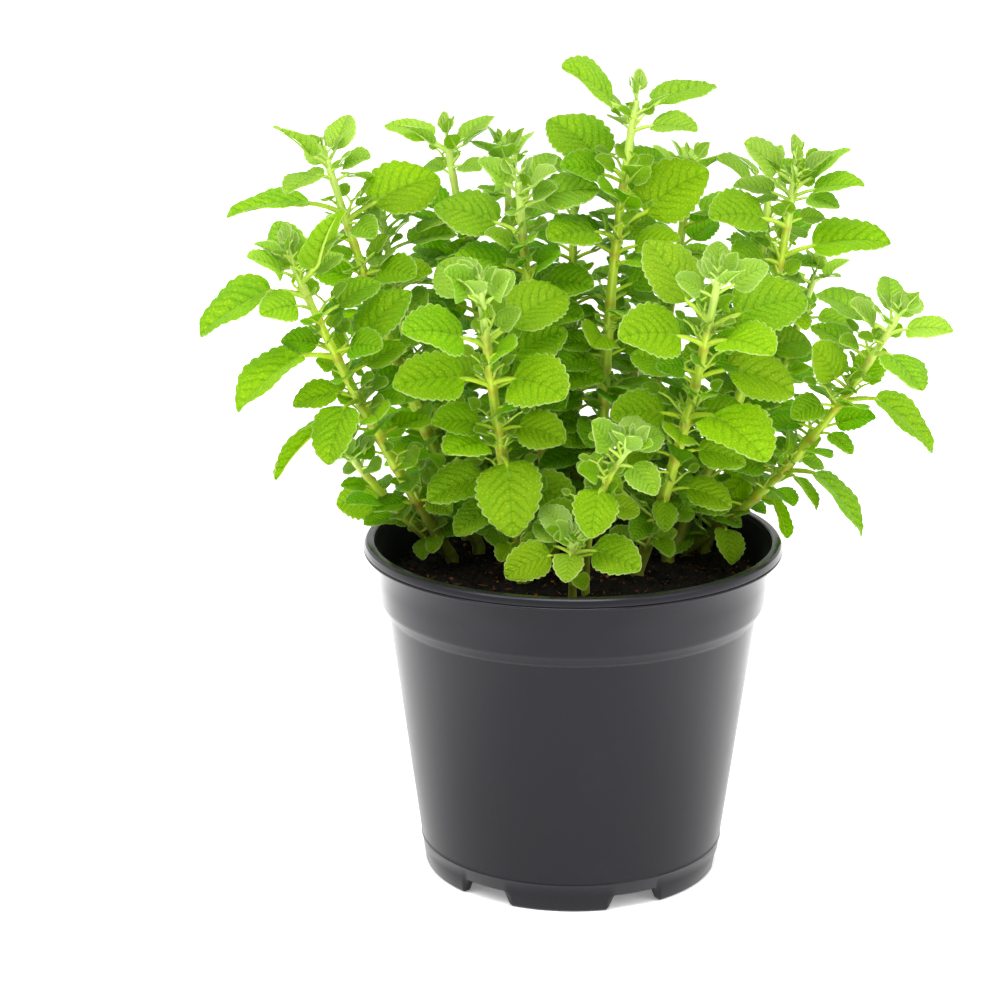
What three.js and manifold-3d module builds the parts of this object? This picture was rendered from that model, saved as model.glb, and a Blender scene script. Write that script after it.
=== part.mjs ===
// Potted oregano: a bush of leafy stems standing in soil in a plastic nursery pot.
// Millimetres, +Z up. The origin is on the pot's axis at the surface it stands on, -Y is the front.

import * as THREE from 'three';
import { mergeVertices } from 'three/addons/utils/BufferGeometryUtils.js';
import Module from 'manifold-3d';

const wasm = await Module();
wasm.setup();

const DEGREE = Math.PI / 180;
const UP = new THREE.Vector3(0, 0, 1);

// Corners closer than this are one corner, and faces flatter than this are one face.
const SAME_CORNER = 1e-4;
const SAME_FACE = 0.02;

// Pot: height over all, rim, collar under the rim, tapered body and foot ring.
const POT_HEIGHT = 106;
const RIM_RADIUS = 65;
const RIM_INNER_RADIUS = 61.2;
const RIM_DEPTH = 3.6;
const COLLAR_TOP_RADIUS = 60.9;
const COLLAR_FOOT_RADIUS = 59.8;
const COLLAR_FOOT_HEIGHT = 85.8;
const BODY_TOP_RADIUS = 57.3;
const BODY_TOP_HEIGHT = 82;
const FOOT_RADIUS = 46.2;
const FOOT_EDGE = 0.9;
const FOOT_RING_WIDTH = 2.9;
const WALL = 1.5;
const FLOOR_UNDERSIDE = 5.6;
const FLOOR_THICKNESS = 1.6;
const STEP_DEPTH = 0.6;
const STEP_HEIGHT = 1.8;
const RIM_FOOT_EDGE = 0.5;
const RIM_ROUND = 2.4;
const INNER_CORNER = 0.6;
const POT_SEGMENTS = 36;

// Six notches through the foot ring and six drain holes in the floor.
const FOOT_COUNT = 6;
const FIRST_NOTCH_ANGLE = -64.5;
const NOTCH_HEIGHT = 4.8;
const NOTCH_TOP_WIDTH = 14;
const NOTCH_FOOT_WIDTH = 18.5;
const NOTCH_CUT_DEPTH = 12;
const NOTCH_CUT_START = 4;
const DRAIN_RADIUS = 4;
const DRAIN_DRILL_LENGTH = 6;
const DRAIN_SIDES = 10;
const DRAIN_CIRCLE_RADIUS = 31;

// Soil: fills the pot to a little under the rim, with a slightly uneven top.
const SOIL_GAP = 0.3;
const SOIL_EDGE_HEIGHT = 93.4;
const SOIL_CROWN = 1.2;
const SOIL_UNEVEN = 0.9;
const SOIL_RINGS = [0.5];
const SOIL_SEGMENTS = 24;
const SOIL_STEP_EDGE = 0.9;

// Stems: square, thinner towards the tip, rooted a way down in the soil. Radii are to a corner.
const BASE_HEIGHT = 96;
const ROOT_HEIGHT = 72;
const STEM_SIDES = 4;
const STEM_SECTIONS = 4;
const STEM_FOOT_RADIUS = 2.1;
const STEM_TIP_RADIUS = 1.3;
const BUD_LENGTH = 5.5;
const BUD_RADIUS = 2;
const HOLE_CLEARANCE = 0.35;
const HOLE_ABOVE_BASE = 4;
const BUD_BULGE = 0.45;
const BUD_END_RADIUS = 0.5;
const NEAR_TIP = 0.97;

// Leaves: a stalk, then an ovate blade with a toothed edge, folded up a little along its rib.
const STALK_SHARE = 0.36;
const STALK_EXTRA = 1.5;
const STALK_RISE = 20;
const STALK_FOLLOWS_BLADE = 1 / 3;
const STALK_HALF_SHARE = 0.028;
const STALK_HALF_EXTRA = 0.25;
const LEAF_ARCH = 30;
const ARCH_CENTRE = 0.4;
const LENGTH_PER_WIDTH = 1.18;
const RIB_THICKNESS = 1.2;
const THINNING = 0.45;
const FOLD_RISE = 0.17;
const TOOTH_DEPTH = 0.06;
const OUTLINE_START_POWER = 0.42;
const OUTLINE_END_POWER = 0.7;
const WIDEST = OUTLINE_START_POWER / (OUTLINE_START_POWER + OUTLINE_END_POWER);
const OUTLINE_PEAK = WIDEST ** OUTLINE_START_POWER * (1 - WIDEST) ** OUTLINE_END_POWER;
const EVEN_SPACING = 0.55;
const FACE_OUTWARD = 0.55;
const FACE_FRONT = 0.65;
const LARGE_LEAF = 19.5;
const MEDIUM_LEAF = 16;
const LEAF_CLEARANCE = 0.35;

// Where a leaf would touch another stem, its pair of neighbours, the pot or the soil, it is bent
// clear by the first of these that fits: degrees round the stem, degrees up, share of its length.
const BENDS = [
  [0, 0, 1], [9, 4, 1], [-9, 4, 1], [0, 11, 1], [17, -8, 0.97], [-17, -8, 0.97], [0, -13, 1],
  [26, 9, 0.93], [-26, 9, 0.93], [38, -4, 0.88], [-38, -4, 0.88], [0, 25, 0.85],
  [54, 8, 0.8], [-54, 8, 0.8], [20, 35, 0.72], [-20, 35, 0.72],
];

// Each stem: where it leaves the soil, the point it bends towards, its tip, and its leaves.
// A leaf is its place along the stem (0 to 1), the way it points seen from above in degrees,
// its blade's length, how far it rises or droops in degrees, and how much it faces the front
// where that isn't the usual. The number of pairs is for the leaves that follow the rule below.
const STEMS = [
  {
    name: 'stem_tall_centre', base: [9, 14], bend: [7, -4, 173], tip: [18, 2, 241], pairs: 3,
    leaves: [
      [0.96, -145, 22, 36, 0.4], [0.96, 33, 22, 13, -0.1], [0.93, -24, 15, 0], [0.93, 118, 9, 10],
      [0.83, 144, 23, 30, 1.5], [0.81, -63, 11, 35], [0.72, 7, 23, 35, 1.4], [0.7, -141, 19, 2, 0],
      [0.69, 45, 12, 17], [0.56, 135, 15, -20], [0.56, 50, 16, -10], [0.42, 130, 15, 5],
      [0.35, -53, 18, 14], [0.34, 156, 16, -32],
    ],
  },
  {
    name: 'stem_front_left', base: [-15, -12], bend: [-23, -12, 138], tip: [-27, -46, 193], pairs: 1,
    leaves: [
      [0.94, 125, 18, 22], [0.95, -135, 13, 44], [0.95, -45, 11, 47], [0.82, -142, 22, 14],
      [0.83, 40, 23, 20], [0.85, -8, 9, 46], [0.74, 26, 19, 22], [0.7, -47, 23, -2],
      [0.69, -160, 22, 0], [0.54, -159, 15, 8], [0.54, -27, 16, -8],
      [0.45, -81, 24, -50], [0.36, -168, 18, -20], [0.26, -164, 14, -34],
      [0.34, -9, 16, -28], [0.13, -112, 9, -20],
    ],
  },
  {
    name: 'stem_front_right', base: [20, -4], bend: [35, -18, 144], tip: [41, -44, 196], pairs: 1,
    leaves: [
      [0.95, 82, 12, 62], [0.95, -4, 12, 32], [0.94, -151, 10, 30], [0.86, 149, 22, 52],
      [0.84, 20, 23, 9], [0.79, -147, 22, 8], [0.79, -48, 20, 0], [0.68, 15, 23, -20],
      [0.66, 150, 16, 15], [0.55, -50, 26, -18], [0.54, -163, 17, 2],
      [0.42, -7, 15, -14], [0.41, 165, 14, -14], [0.29, -9, 15, -20], [0.27, -88, 10, -52],
      [0.12, -60, 9, -22],
    ],
  },
  {
    name: 'stem_right_top', base: [30, 12], bend: [63, 8, 166], tip: [66, 6, 221], pairs: 3,
    leaves: [
      [0.95, -155, 15, 42, 1], [0.93, 9, 15, 39, 0], [0.91, -17, 16, 10, 0.5], [0.91, -117, 8, 32],
      [0.9, -28, 11, -9, 0.9], [0.83, -147, 21, 9], [0.84, 14, 8, 1, 0.8], [0.75, -5, 24, 6, 0.5],
      [0.73, -130, 17, 5], [0.6, -60, 15, -8], [0.6, 110, 15, -6],
    ],
  },
  {
    name: 'stem_far_right', base: [36, 20], bend: [70, 2, 124], tip: [97, -8, 178], pairs: 0,
    leaves: [
      [0.97, 90, 13, 45], [0.99, 47, 9, 14], [0.94, 142, 19, 21], [0.95, -150, 12, 40],
      [0.94, -27, 15, 6], [0.88, -58, 18, -24], [0.86, 150, 15, 24], [0.76, -160, 16, 61, 2.2],
      [0.72, -3, 25, -40, 0.3], [0.7, -147, 12, -11], [0.6, -37, 10, -30], [0.58, 130, 12, 5],
      [0.47, -99, 11, 70], [0.44, -25, 25, -46, 0.1], [0.47, 24, 9, -20], [0.43, -52, 14, -37, -0.1],
      [0.32, 98, 10, 34], [0.32, -39, 13, -69, -0.5], [0.16, -80, 13, -42],
    ],
  },
  {
    name: 'stem_left_top', base: [-30, 22], bend: [-59, 8, 164], tip: [-75, 6, 222], pairs: 3,
    leaves: [
      [0.98, -139, 17, 38, 0.5], [0.99, 66, 13, 51, 1.2], [0.97, -33, 11, 19], [0.95, -127, 15, -12, 0.8],
      [0.94, 150, 8, 0], [0.86, -172, 26, -6, 0.2], [0.84, 34, 25, 16, 1.7], [0.83, -54, 11, -14],
      [0.78, 123, 13, -30], [0.7, -40, 15, 2], [0.62, 60, 16, -4], [0.6, -128, 14, -12],
    ],
  },
  {
    name: 'stem_left', base: [-38, 10], bend: [-64, -24, 150], tip: [-84, -26, 199], pairs: 1,
    leaves: [
      [0.92, -141, 14, 28], [0.91, -51, 23, 58, -0.3], [0.98, 100, 8, 42], [0.87, 180, 26, -30, 0.3],
      [0.83, -162, 15, -10, 1.8], [0.8, 33, 16, 24], [0.7, 141, 14, -10], [0.68, 18, 21, 44],
      [0.62, 20, 14, 24], [0.68, -156, 26, -34, 0.2], [0.55, -172, 14, -13], [0.54, -117, 19, -55],
      [0.53, 50, 13, 30], [0.48, -179, 27, -46, -0.4], [0.43, 160, 14, -26], [0.42, 39, 14, 4],
      [0.32, -68, 13, 14], [0.2, -40, 10, -12], [0.08, -95, 8, -24],
    ],
  },
  {
    name: 'stem_low_left', base: [-40, 14], bend: [-56, 6, 112], tip: [-67, -14, 134], pairs: 0,
    leaves: [
      [0.47, 164, 15, -4, 1.9], [0.84, 132, 8, -6], [0.9, -60, 9, 10],
      [0.95, -140, 8, 34], [0.2, -82, 9, -36], [0.3, 100, 9, 6],
    ],
  },
  {
    name: 'stem_left_inner', base: [-22, 26], bend: [-48, 22, 120], tip: [-59, 18, 201], pairs: 4,
    leaves: [
      [0.98, -147, 9, 60], [0.98, 45, 13, 34], [0.94, 20, 16, 8], [0.93, -135, 14, 0],
      [0.86, 40, 17, -16], [0.84, -60, 13, -6], [0.84, 150, 14, -8],
    ],
  },
  {
    name: 'stem_centre_left', base: [-16, 34], bend: [-29, 35, 157], tip: [-40, 30, 225], pairs: 4,
    leaves: [
      [0.97, 152, 17, 15, 0.3], [0.97, 41, 14, 30], [0.93, -50, 10, 0], [0.91, 130, 10, 4],
      [0.77, 130, 14, -22], [0.75, 34, 14, -16], [0.8, -130, 14, -6], [0.7, -176, 17, -12],
    ],
  },
  {
    name: 'stem_centre_back', base: [-6, 40], bend: [-19, 40, 152], tip: [-22, 43, 219], pairs: 4,
    leaves: [
      [0.98, 82, 9, 36], [0.98, -136, 12, 26], [0.93, -30, 9, 12], [0.88, 110, 12, 4],
      [0.86, -70, 11, -8],
    ],
  },
  {
    name: 'stem_centre_front', base: [-6, 10], bend: [-12, 4, 158], tip: [-17, -8, 218], pairs: 3,
    leaves: [
      [0.97, -139, 13, 38], [0.97, 50, 13, 34], [0.93, 2, 17, 12], [0.95, -29, 9, 20],
      [0.92, -101, 8, 0], [0.86, 172, 20, 14], [0.82, -160, 10, 22], [0.84, 60, 14, 6],
      [0.72, -20, 15, 2], [0.7, 150, 16, -4], [0.56, 60, 16, -4], [0.56, -122, 15, -8],
    ],
  },
  {
    name: 'stem_back_middle', base: [2, 30], bend: [-2, 26, 155], tip: [0, 28, 217], pairs: 4,
    leaves: [
      [0.97, -117, 9, 26], [0.97, 50, 10, 10], [0.86, 160, 12, 8], [0.86, -22, 12, 10],
    ],
  },
  {
    name: 'stem_back_right', base: [16, 40], bend: [31, 42, 160], tip: [36, 44, 215], pairs: 4,
    leaves: [
      [0.97, 180, 10, 44], [0.97, -38, 12, 28], [0.84, 12, 14, 20], [0.84, 175, 16, 28, 1],
    ],
  },
  {
    name: 'stem_right_inner', base: [30, 32], bend: [61, 33, 164], tip: [60, 34, 214], pairs: 4,
    leaves: [
      [0.94, -148, 16, 34], [0.94, 56, 9, -14], [0.99, 60, 7, 50], [0.82, 130, 14, 4],
      [0.82, -52, 13, -2], [0.7, 178, 20, 10, 0.1],
    ],
  },
  {
    name: 'stem_right_low', base: [42, 24], bend: [61, 26, 136], tip: [75, 30, 183], pairs: 2,
    leaves: [
      [0.97, -136, 9, 12], [0.98, -50, 8, 10], [0.99, 70, 7, 40], [0.84, -10, 13, -14],
      [0.84, 150, 13, 0],
    ],
  },
  {
    name: 'sprig_front', base: [4, -22], bend: [3, -35, 126], tip: [16, -50, 147], pairs: 0,
    leaves: [
      [0.92, -138, 12, 54], [0.92, 44, 12, 14], [0.86, -44, 12, -32], [0.74, -135, 9, 22],
      [0.69, -103, 16, -42], [0.5, 20, 10, -14], [0.44, 165, 12, -10], [0.24, 25, 8, -22],
    ],
  },
  {
    name: 'sprig_front_low', base: [0, -34], bend: [0, -40, 110], tip: [0, -46, 117], pairs: 0,
    leaves: [
      [0.86, 140, 11, 18], [0.8, -98, 11, -30], [0.76, -28, 16, -11], [0.65, -168, 15, -22],
      [0.4, -70, 7, -26],
    ],
  },
  {
    name: 'stem_rear_left', base: [-34, 35], bend: [-50, 38, 130], tip: [-60, 40, 176], pairs: 4,
    leaves: [],
  },
  {
    name: 'stem_rear_mid_left', base: [-14, 46], bend: [-19, 46, 130], tip: [-24, 41, 178], pairs: 4,
    leaves: [],
  },
  {
    name: 'stem_rear_mid_right', base: [12, 46], bend: [18, 46, 130], tip: [22, 41, 178], pairs: 4,
    leaves: [],
  },
  {
    name: 'stem_rear_right', base: [33, 37], bend: [51, 40, 130], tip: [62, 40, 174], pairs: 4,
    leaves: [],
  },
];

// Pairs that follow the rule: each pair crosswise to the one below, longest half way up.
const PAIR_FIRST = 0.2;
const PAIR_LAST_BARE = 0.95;
const PAIR_LAST_UNDER = 0.76;
const PAIR_TURN = 90;
const PAIR_SCATTER = 24;
const PAIR_SHORTEST = 11;
const PAIR_LONGEST = 16.5;
const PAIR_LOW_RISE = -26;
const PAIR_HIGH_RISE = 34;
const CROWN_PLACE = 0.995;
const CROWN_LENGTH = 7.5;
const CROWN_RISE = 64;
const STEM_TURN = 37;
const CROWN_TURN = 53;
const LONGEST_PLACE = 1.1;
const LENGTH_SCATTER = 0.2;

// A number from 0 to 1 that looks random but is the same each time for the same two numbers.
function scatter(first, second) {
  const wave = Math.sin(first * 12.9898 + second * 78.233) * 43758.5453;
  return wave - Math.floor(wave);
}

function solidFrom(geometry) {
  const bare = geometry.clone();
  bare.deleteAttribute('normal');
  bare.deleteAttribute('uv');
  const merged = bare.index && bare.userData.shared ? bare : mergeVertices(bare, SAME_CORNER);
  return new wasm.Manifold(new wasm.Mesh({
    numProp: 3,
    vertProperties: new Float32Array(merged.attributes.position.array),
    triVerts: new Uint32Array(merged.index.array),
  }));
}

function solidFromParts(points, triangles) {
  const geometry = new THREE.BufferGeometry();
  const flat = points.flatMap((point) => [point.x, point.y, point.z]);
  geometry.setAttribute('position', new THREE.Float32BufferAttribute(flat, 3));
  geometry.setIndex(triangles.flat());
  geometry.userData.shared = true;
  return solidFrom(geometry);
}

function geometryFrom(solid) {
  const mesh = solid.getMesh();
  const geometry = new THREE.BufferGeometry();
  geometry.setAttribute('position', new THREE.Float32BufferAttribute(mesh.vertProperties, 3));
  geometry.setIndex(Array.from(mesh.triVerts));
  return geometry;
}

// A profile of [radius, height] points turned round the Z axis. LatheGeometry turns round Y.
function turned(profile, segments) {
  const lathe = new THREE.LatheGeometry(profile.map(([r, z]) => new THREE.Vector2(r, z)), segments);
  lathe.rotateX(Math.PI / 2);
  return lathe;
}

function potProfile() {
  const rimUnderside = POT_HEIGHT - RIM_DEPTH;
  const innerTop = COLLAR_TOP_RADIUS - WALL;
  const floorTop = FLOOR_UNDERSIDE + FLOOR_THICKNESS;
  const taper = (BODY_TOP_RADIUS - FOOT_RADIUS) / BODY_TOP_HEIGHT;
  return [
    [0, FLOOR_UNDERSIDE],
    [FOOT_RADIUS - FOOT_RING_WIDTH, FLOOR_UNDERSIDE],
    [FOOT_RADIUS - FOOT_RING_WIDTH, 0],
    [FOOT_RADIUS - FOOT_EDGE, 0],
    [FOOT_RADIUS, FOOT_EDGE],
    [BODY_TOP_RADIUS, BODY_TOP_HEIGHT],
    [COLLAR_FOOT_RADIUS - STEP_DEPTH, COLLAR_FOOT_HEIGHT - STEP_HEIGHT],
    [COLLAR_FOOT_RADIUS, COLLAR_FOOT_HEIGHT],
    [COLLAR_TOP_RADIUS, rimUnderside],
    [RIM_RADIUS - RIM_FOOT_EDGE, rimUnderside],
    [RIM_RADIUS, rimUnderside + RIM_FOOT_EDGE],
    [RIM_RADIUS, POT_HEIGHT - RIM_ROUND / 2],
    [RIM_RADIUS - RIM_ROUND / 2, POT_HEIGHT],
    [RIM_RADIUS - RIM_ROUND, POT_HEIGHT],
    [RIM_INNER_RADIUS, POT_HEIGHT - RIM_ROUND / 2],
    [innerTop, rimUnderside - INNER_CORNER],
    [COLLAR_FOOT_RADIUS - WALL, COLLAR_FOOT_HEIGHT + INNER_CORNER],
    [BODY_TOP_RADIUS - WALL, BODY_TOP_HEIGHT - INNER_CORNER],
    [FOOT_RADIUS - WALL + taper * floorTop, floorTop],
    [0, floorTop],
  ];
}

// A block with sloping ends that cuts one notch through the foot ring.
function notchCutter(angle) {
  const slope = (NOTCH_FOOT_WIDTH - NOTCH_TOP_WIDTH) / 2 / NOTCH_HEIGHT;
  const reach = 1;
  const outline = new THREE.Shape();
  outline.moveTo(-NOTCH_FOOT_WIDTH / 2 - slope * reach, -reach);
  outline.lineTo(NOTCH_FOOT_WIDTH / 2 + slope * reach, -reach);
  outline.lineTo(NOTCH_TOP_WIDTH / 2, NOTCH_HEIGHT);
  outline.lineTo(-NOTCH_TOP_WIDTH / 2, NOTCH_HEIGHT);
  outline.closePath();
  const block = new THREE.ExtrudeGeometry(outline, { depth: NOTCH_CUT_DEPTH, bevelEnabled: false });
  block.rotateX(Math.PI / 2);
  block.translate(0, NOTCH_CUT_DEPTH - NOTCH_CUT_START - FOOT_RADIUS, 0);
  block.rotateZ((angle + 90) * DEGREE);
  return solidFrom(block);
}

function drainCutter(angle) {
  const drill = new THREE.CylinderGeometry(DRAIN_RADIUS, DRAIN_RADIUS, DRAIN_DRILL_LENGTH, DRAIN_SIDES);
  drill.rotateX(Math.PI / 2);
  drill.translate(DRAIN_CIRCLE_RADIUS, 0, FLOOR_UNDERSIDE + FLOOR_THICKNESS / 2);
  drill.rotateZ(angle * DEGREE);
  return solidFrom(drill);
}

function potSolid() {
  let pot = solidFrom(turned(potProfile(), POT_SEGMENTS));
  for (let foot = 0; foot < FOOT_COUNT; foot += 1) {
    const angle = FIRST_NOTCH_ANGLE + (foot * 360) / FOOT_COUNT;
    pot = pot.subtract(notchCutter(angle));
    pot = pot.subtract(drainCutter(angle));
  }
  return pot;
}

function soilBody() {
  const bottom = FLOOR_UNDERSIDE + FLOOR_THICKNESS + SOIL_GAP;
  const wall = WALL + SOIL_GAP;
  const taper = (BODY_TOP_RADIUS - FOOT_RADIUS) / BODY_TOP_HEIGHT;
  const slope = (COLLAR_TOP_RADIUS - COLLAR_FOOT_RADIUS) / (POT_HEIGHT - RIM_DEPTH - COLLAR_FOOT_HEIGHT);
  const edge = COLLAR_FOOT_RADIUS - wall + slope * (SOIL_EDGE_HEIGHT - COLLAR_FOOT_HEIGHT);
  const crowned = SOIL_RINGS.map((share) => [edge * share, SOIL_EDGE_HEIGHT + SOIL_CROWN * (1 - share)]);
  const profile = [
    [0, bottom],
    [FOOT_RADIUS - wall + taper * bottom, bottom],
    [BODY_TOP_RADIUS - wall, BODY_TOP_HEIGHT - INNER_CORNER],
    [COLLAR_FOOT_RADIUS - wall, COLLAR_FOOT_HEIGHT + SOIL_STEP_EDGE],
    [edge, SOIL_EDGE_HEIGHT],
    ...crowned.reverse(),
    [0, SOIL_EDGE_HEIGHT + SOIL_CROWN],
  ];
  const body = turned(profile, SOIL_SEGMENTS);
  body.deleteAttribute('normal');
  body.deleteAttribute('uv');
  const merged = mergeVertices(body, SAME_CORNER);
  const place = merged.attributes.position;
  for (let index = 0; index < place.count; index += 1) {
    const onTop = place.getZ(index) > SOIL_EDGE_HEIGHT + SOIL_GAP;
    if (onTop) {
      place.setZ(index, place.getZ(index) + SOIL_UNEVEN * (2 * scatter(index, 5) - 1));
    }
  }
  merged.userData.shared = true;
  return solidFrom(merged);
}

// The centre line of a stem at a share of its length above the soil.
function stemPoint(stem, share) {
  const rest = 1 - share;
  const foot = new THREE.Vector3(stem.base[0], stem.base[1], BASE_HEIGHT);
  const bend = new THREE.Vector3(...stem.bend);
  const tip = new THREE.Vector3(...stem.tip);
  return foot.multiplyScalar(rest * rest)
    .addScaledVector(bend, 2 * rest * share)
    .addScaledVector(tip, share * share);
}

function stemSpine(stem) {
  const root = new THREE.Vector3(stem.base[0], stem.base[1], ROOT_HEIGHT);
  const spine = [{ point: root, radius: STEM_FOOT_RADIUS }];
  for (let step = 0; step <= STEM_SECTIONS; step += 1) {
    const share = step / STEM_SECTIONS;
    const radius = STEM_FOOT_RADIUS + (STEM_TIP_RADIUS - STEM_FOOT_RADIUS) * share;
    spine.push({ point: stemPoint(stem, share), radius });
  }
  const tip = stemPoint(stem, 1);
  const onward = tip.clone().sub(stemPoint(stem, NEAR_TIP)).normalize().add(UP).normalize();
  spine.push({ point: tip.clone().addScaledVector(onward, BUD_LENGTH * BUD_BULGE), radius: BUD_RADIUS });
  spine.push({ point: tip.clone().addScaledVector(onward, BUD_LENGTH), radius: BUD_END_RADIUS });
  return spine;
}

// The plain hole in the soil in which the foot of a stem stands.
function holeSpine(stem) {
  const [x, y] = stem.base;
  const radius = STEM_FOOT_RADIUS + HOLE_CLEARANCE;
  return [ROOT_HEIGHT - HOLE_CLEARANCE, BASE_HEIGHT + HOLE_ABOVE_BASE]
    .map((height) => ({ point: new THREE.Vector3(x, y, height), radius }));
}

// A closed tube with flat ends through the points of a spine, with level sections turned to it.
function tubeSolid(spine) {
  const sides = STEM_SIDES;
  const points = [];
  const triangles = [];
  const across = new THREE.Vector3(1, 0, 0);
  spine.forEach(({ point, radius }, index) => {
    const before = spine[Math.max(index - 1, 0)].point;
    const after = spine[Math.min(index + 1, spine.length - 1)].point;
    const along = after.clone().sub(before).normalize();
    const first = across.clone().addScaledVector(along, -across.dot(along)).normalize();
    const second = along.clone().cross(first);
    for (let side = 0; side < sides; side += 1) {
      const turn = (2 * Math.PI * side) / sides;
      points.push(point.clone()
        .addScaledVector(first, Math.cos(turn) * radius)
        .addScaledVector(second, Math.sin(turn) * radius));
    }
  });
  for (let ring = 0; ring < spine.length - 1; ring += 1) {
    for (let side = 0; side < sides; side += 1) {
      const low = ring * sides + side;
      const lowNext = ring * sides + ((side + 1) % sides);
      triangles.push([low, lowNext, lowNext + sides], [low, lowNext + sides, low + sides]);
    }
  }
  const last = (spine.length - 1) * sides;
  for (let side = 1; side < sides - 1; side += 1) {
    triangles.push([0, side + 1, side], [last, last + side, last + side + 1]);
  }
  return solidFromParts(points, triangles);
}

// The way a leaf grows: its stalk's root and end, and the blade's rib, side and face at each
// share of its length. The blade turns its face up, outward from the pot and to the front.
function leafGrowth(stem, leaf, bend) {
  const [place, azimuth, fullLength, fullRise, faceFront = FACE_FRONT] = leaf;
  const length = fullLength * bend[2];
  const heading = (azimuth + bend[0]) * DEGREE;
  const rise = (fullRise + bend[1]) * DEGREE;
  const out = new THREE.Vector3(Math.cos(heading), Math.sin(heading), 0);
  const root = stemPoint(stem, place);
  const stalkRise = STALK_RISE * DEGREE + rise * STALK_FOLLOWS_BLADE;
  const stalkLength = STALK_SHARE * length + STALK_EXTRA;
  const base = root.clone()
    .addScaledVector(out, Math.cos(stalkRise) * stalkLength)
    .addScaledVector(UP, Math.sin(stalkRise) * stalkLength);
  const arch = LEAF_ARCH * DEGREE;
  const start = rise + ARCH_CENTRE * arch;
  const outward = new THREE.Vector3(base.x, base.y, 0).normalize();
  const facing = UP.clone().addScaledVector(outward, FACE_OUTWARD);
  facing.y -= faceFront;
  const at = (share) => {
    const angle = start - arch * share;
    const run = ((Math.sin(start) - Math.sin(angle)) / arch) * length;
    const climb = ((Math.cos(angle) - Math.cos(start)) / arch) * length;
    const point = base.clone().addScaledVector(out, run).addScaledVector(UP, climb);
    const along = out.clone().multiplyScalar(Math.cos(angle)).addScaledVector(UP, Math.sin(angle));
    const face = facing.clone().addScaledVector(along, -facing.dot(along)).normalize();
    const side = along.clone().cross(face);
    return { point, side, face };
  };
  return { root, length, at };
}

function halfWidth(share, length) {
  const outline = share ** OUTLINE_START_POWER * (1 - share) ** OUTLINE_END_POWER;
  return ((length / LENGTH_PER_WIDTH / 2) * outline) / OUTLINE_PEAK;
}

function teethAndRibSteps(length) {
  if (length >= LARGE_LEAF) return [4, [0, 0.35, 0.7]];
  if (length >= MEDIUM_LEAF) return [3, [0, 0.5]];
  return [2, [0, 0.5]];
}

// Triangles of one half of one face, from the rib to the toothed edge, in order of their shares.
function halfFace(ribs, ribShares, edges, edgeShares, flip) {
  const triangles = [];
  let rib = 0;
  let edge = 0;
  while (edge < edges.length - 1) {
    const ribNext = rib < ribs.length - 1 && ribShares[rib + 1] <= edgeShares[edge + 1];
    const third = ribNext ? ribs[rib + 1] : edges[edge + 1];
    triangles.push(flip ? [ribs[rib], third, edges[edge]] : [ribs[rib], edges[edge], third]);
    if (ribNext) rib += 1;
    else edge += 1;
  }
  return triangles;
}

// One leaf as a closed solid. With stalk, it starts on the stem's centre line. Swell makes a
// fatter copy, which tests that the leaf keeps clear of what is near it.
function leafSolid(growth, withStalk, swell) {
  const { root, length, at } = growth;
  const [teeth, ribShares] = teethAndRibSteps(length);
  const stalkHalf = STALK_HALF_SHARE * length + STALK_HALF_EXTRA + swell;
  const points = [];
  const add = (point) => points.push(point) - 1;
  const offset = (frame, sideways, lift) => frame.point.clone()
    .addScaledVector(frame.side, sideways)
    .addScaledVector(frame.face, lift);
  const edgeShares = [];
  const rightEdge = [];
  const leftEdge = [];
  for (let step = 0; step < 2 * teeth; step += 1) {
    const even = step / (2 * teeth);
    const share = EVEN_SPACING * even + ((1 - EVEN_SPACING) * (1 - Math.cos(Math.PI * even))) / 2;
    const tooth = step % 2 === 1 ? 1 + TOOTH_DEPTH : 1 - TOOTH_DEPTH;
    const wide = step === 0 ? stalkHalf : halfWidth(share, length) * tooth + swell;
    const frame = at(share);
    const lift = step === 0 ? 0 : wide * FOLD_RISE;
    edgeShares.push(share);
    rightEdge.push(add(offset(frame, wide, lift)));
    leftEdge.push(add(offset(frame, -wide, lift)));
  }
  const tip = add(at(1).point);
  edgeShares.push(1);
  rightEdge.push(tip);
  leftEdge.push(tip);
  const ribTop = [];
  const ribUnder = [];
  ribShares.forEach((share) => {
    const frame = at(share);
    const half = (RIB_THICKNESS * (1 - THINNING * share)) / 2 + swell;
    ribTop.push(add(offset(frame, 0, share === 0 ? stalkHalf : half)));
    ribUnder.push(add(offset(frame, 0, share === 0 ? -stalkHalf : -half)));
  });
  const triangles = [
    ...halfFace(ribTop, ribShares, rightEdge, edgeShares, false),
    ...halfFace(ribTop, ribShares, leftEdge, edgeShares, true),
    ...halfFace(ribUnder, ribShares, rightEdge, edgeShares, true),
    ...halfFace(ribUnder, ribShares, leftEdge, edgeShares, false),
  ];
  const [right, top, left, under] = [rightEdge[0], ribTop[0], leftEdge[0], ribUnder[0]];
  if (withStalk) {
    const frame = { ...at(0), point: root };
    const footRight = add(offset(frame, stalkHalf, stalkHalf / 2));
    const footLeft = add(offset(frame, -stalkHalf, stalkHalf / 2));
    const footUnder = add(offset(frame, 0, -stalkHalf));
    triangles.push([footRight, right, top], [footRight, top, footLeft], [footLeft, top, left]);
    triangles.push([footLeft, left, under], [footLeft, under, footUnder]);
    triangles.push([footUnder, under, right], [footUnder, right, footRight]);
    triangles.push([footRight, footLeft, footUnder]);
  } else {
    triangles.push([right, top, left], [right, left, under]);
  }
  return solidFromParts(points, triangles);
}

function boxesMeet(first, second) {
  const along = (axis) => first.min[axis] <= second.max[axis] && second.min[axis] <= first.max[axis];
  return [0, 1, 2].every(along);
}

function withBox(solid) {
  return { solid, box: solid.boundingBox() };
}

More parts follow.
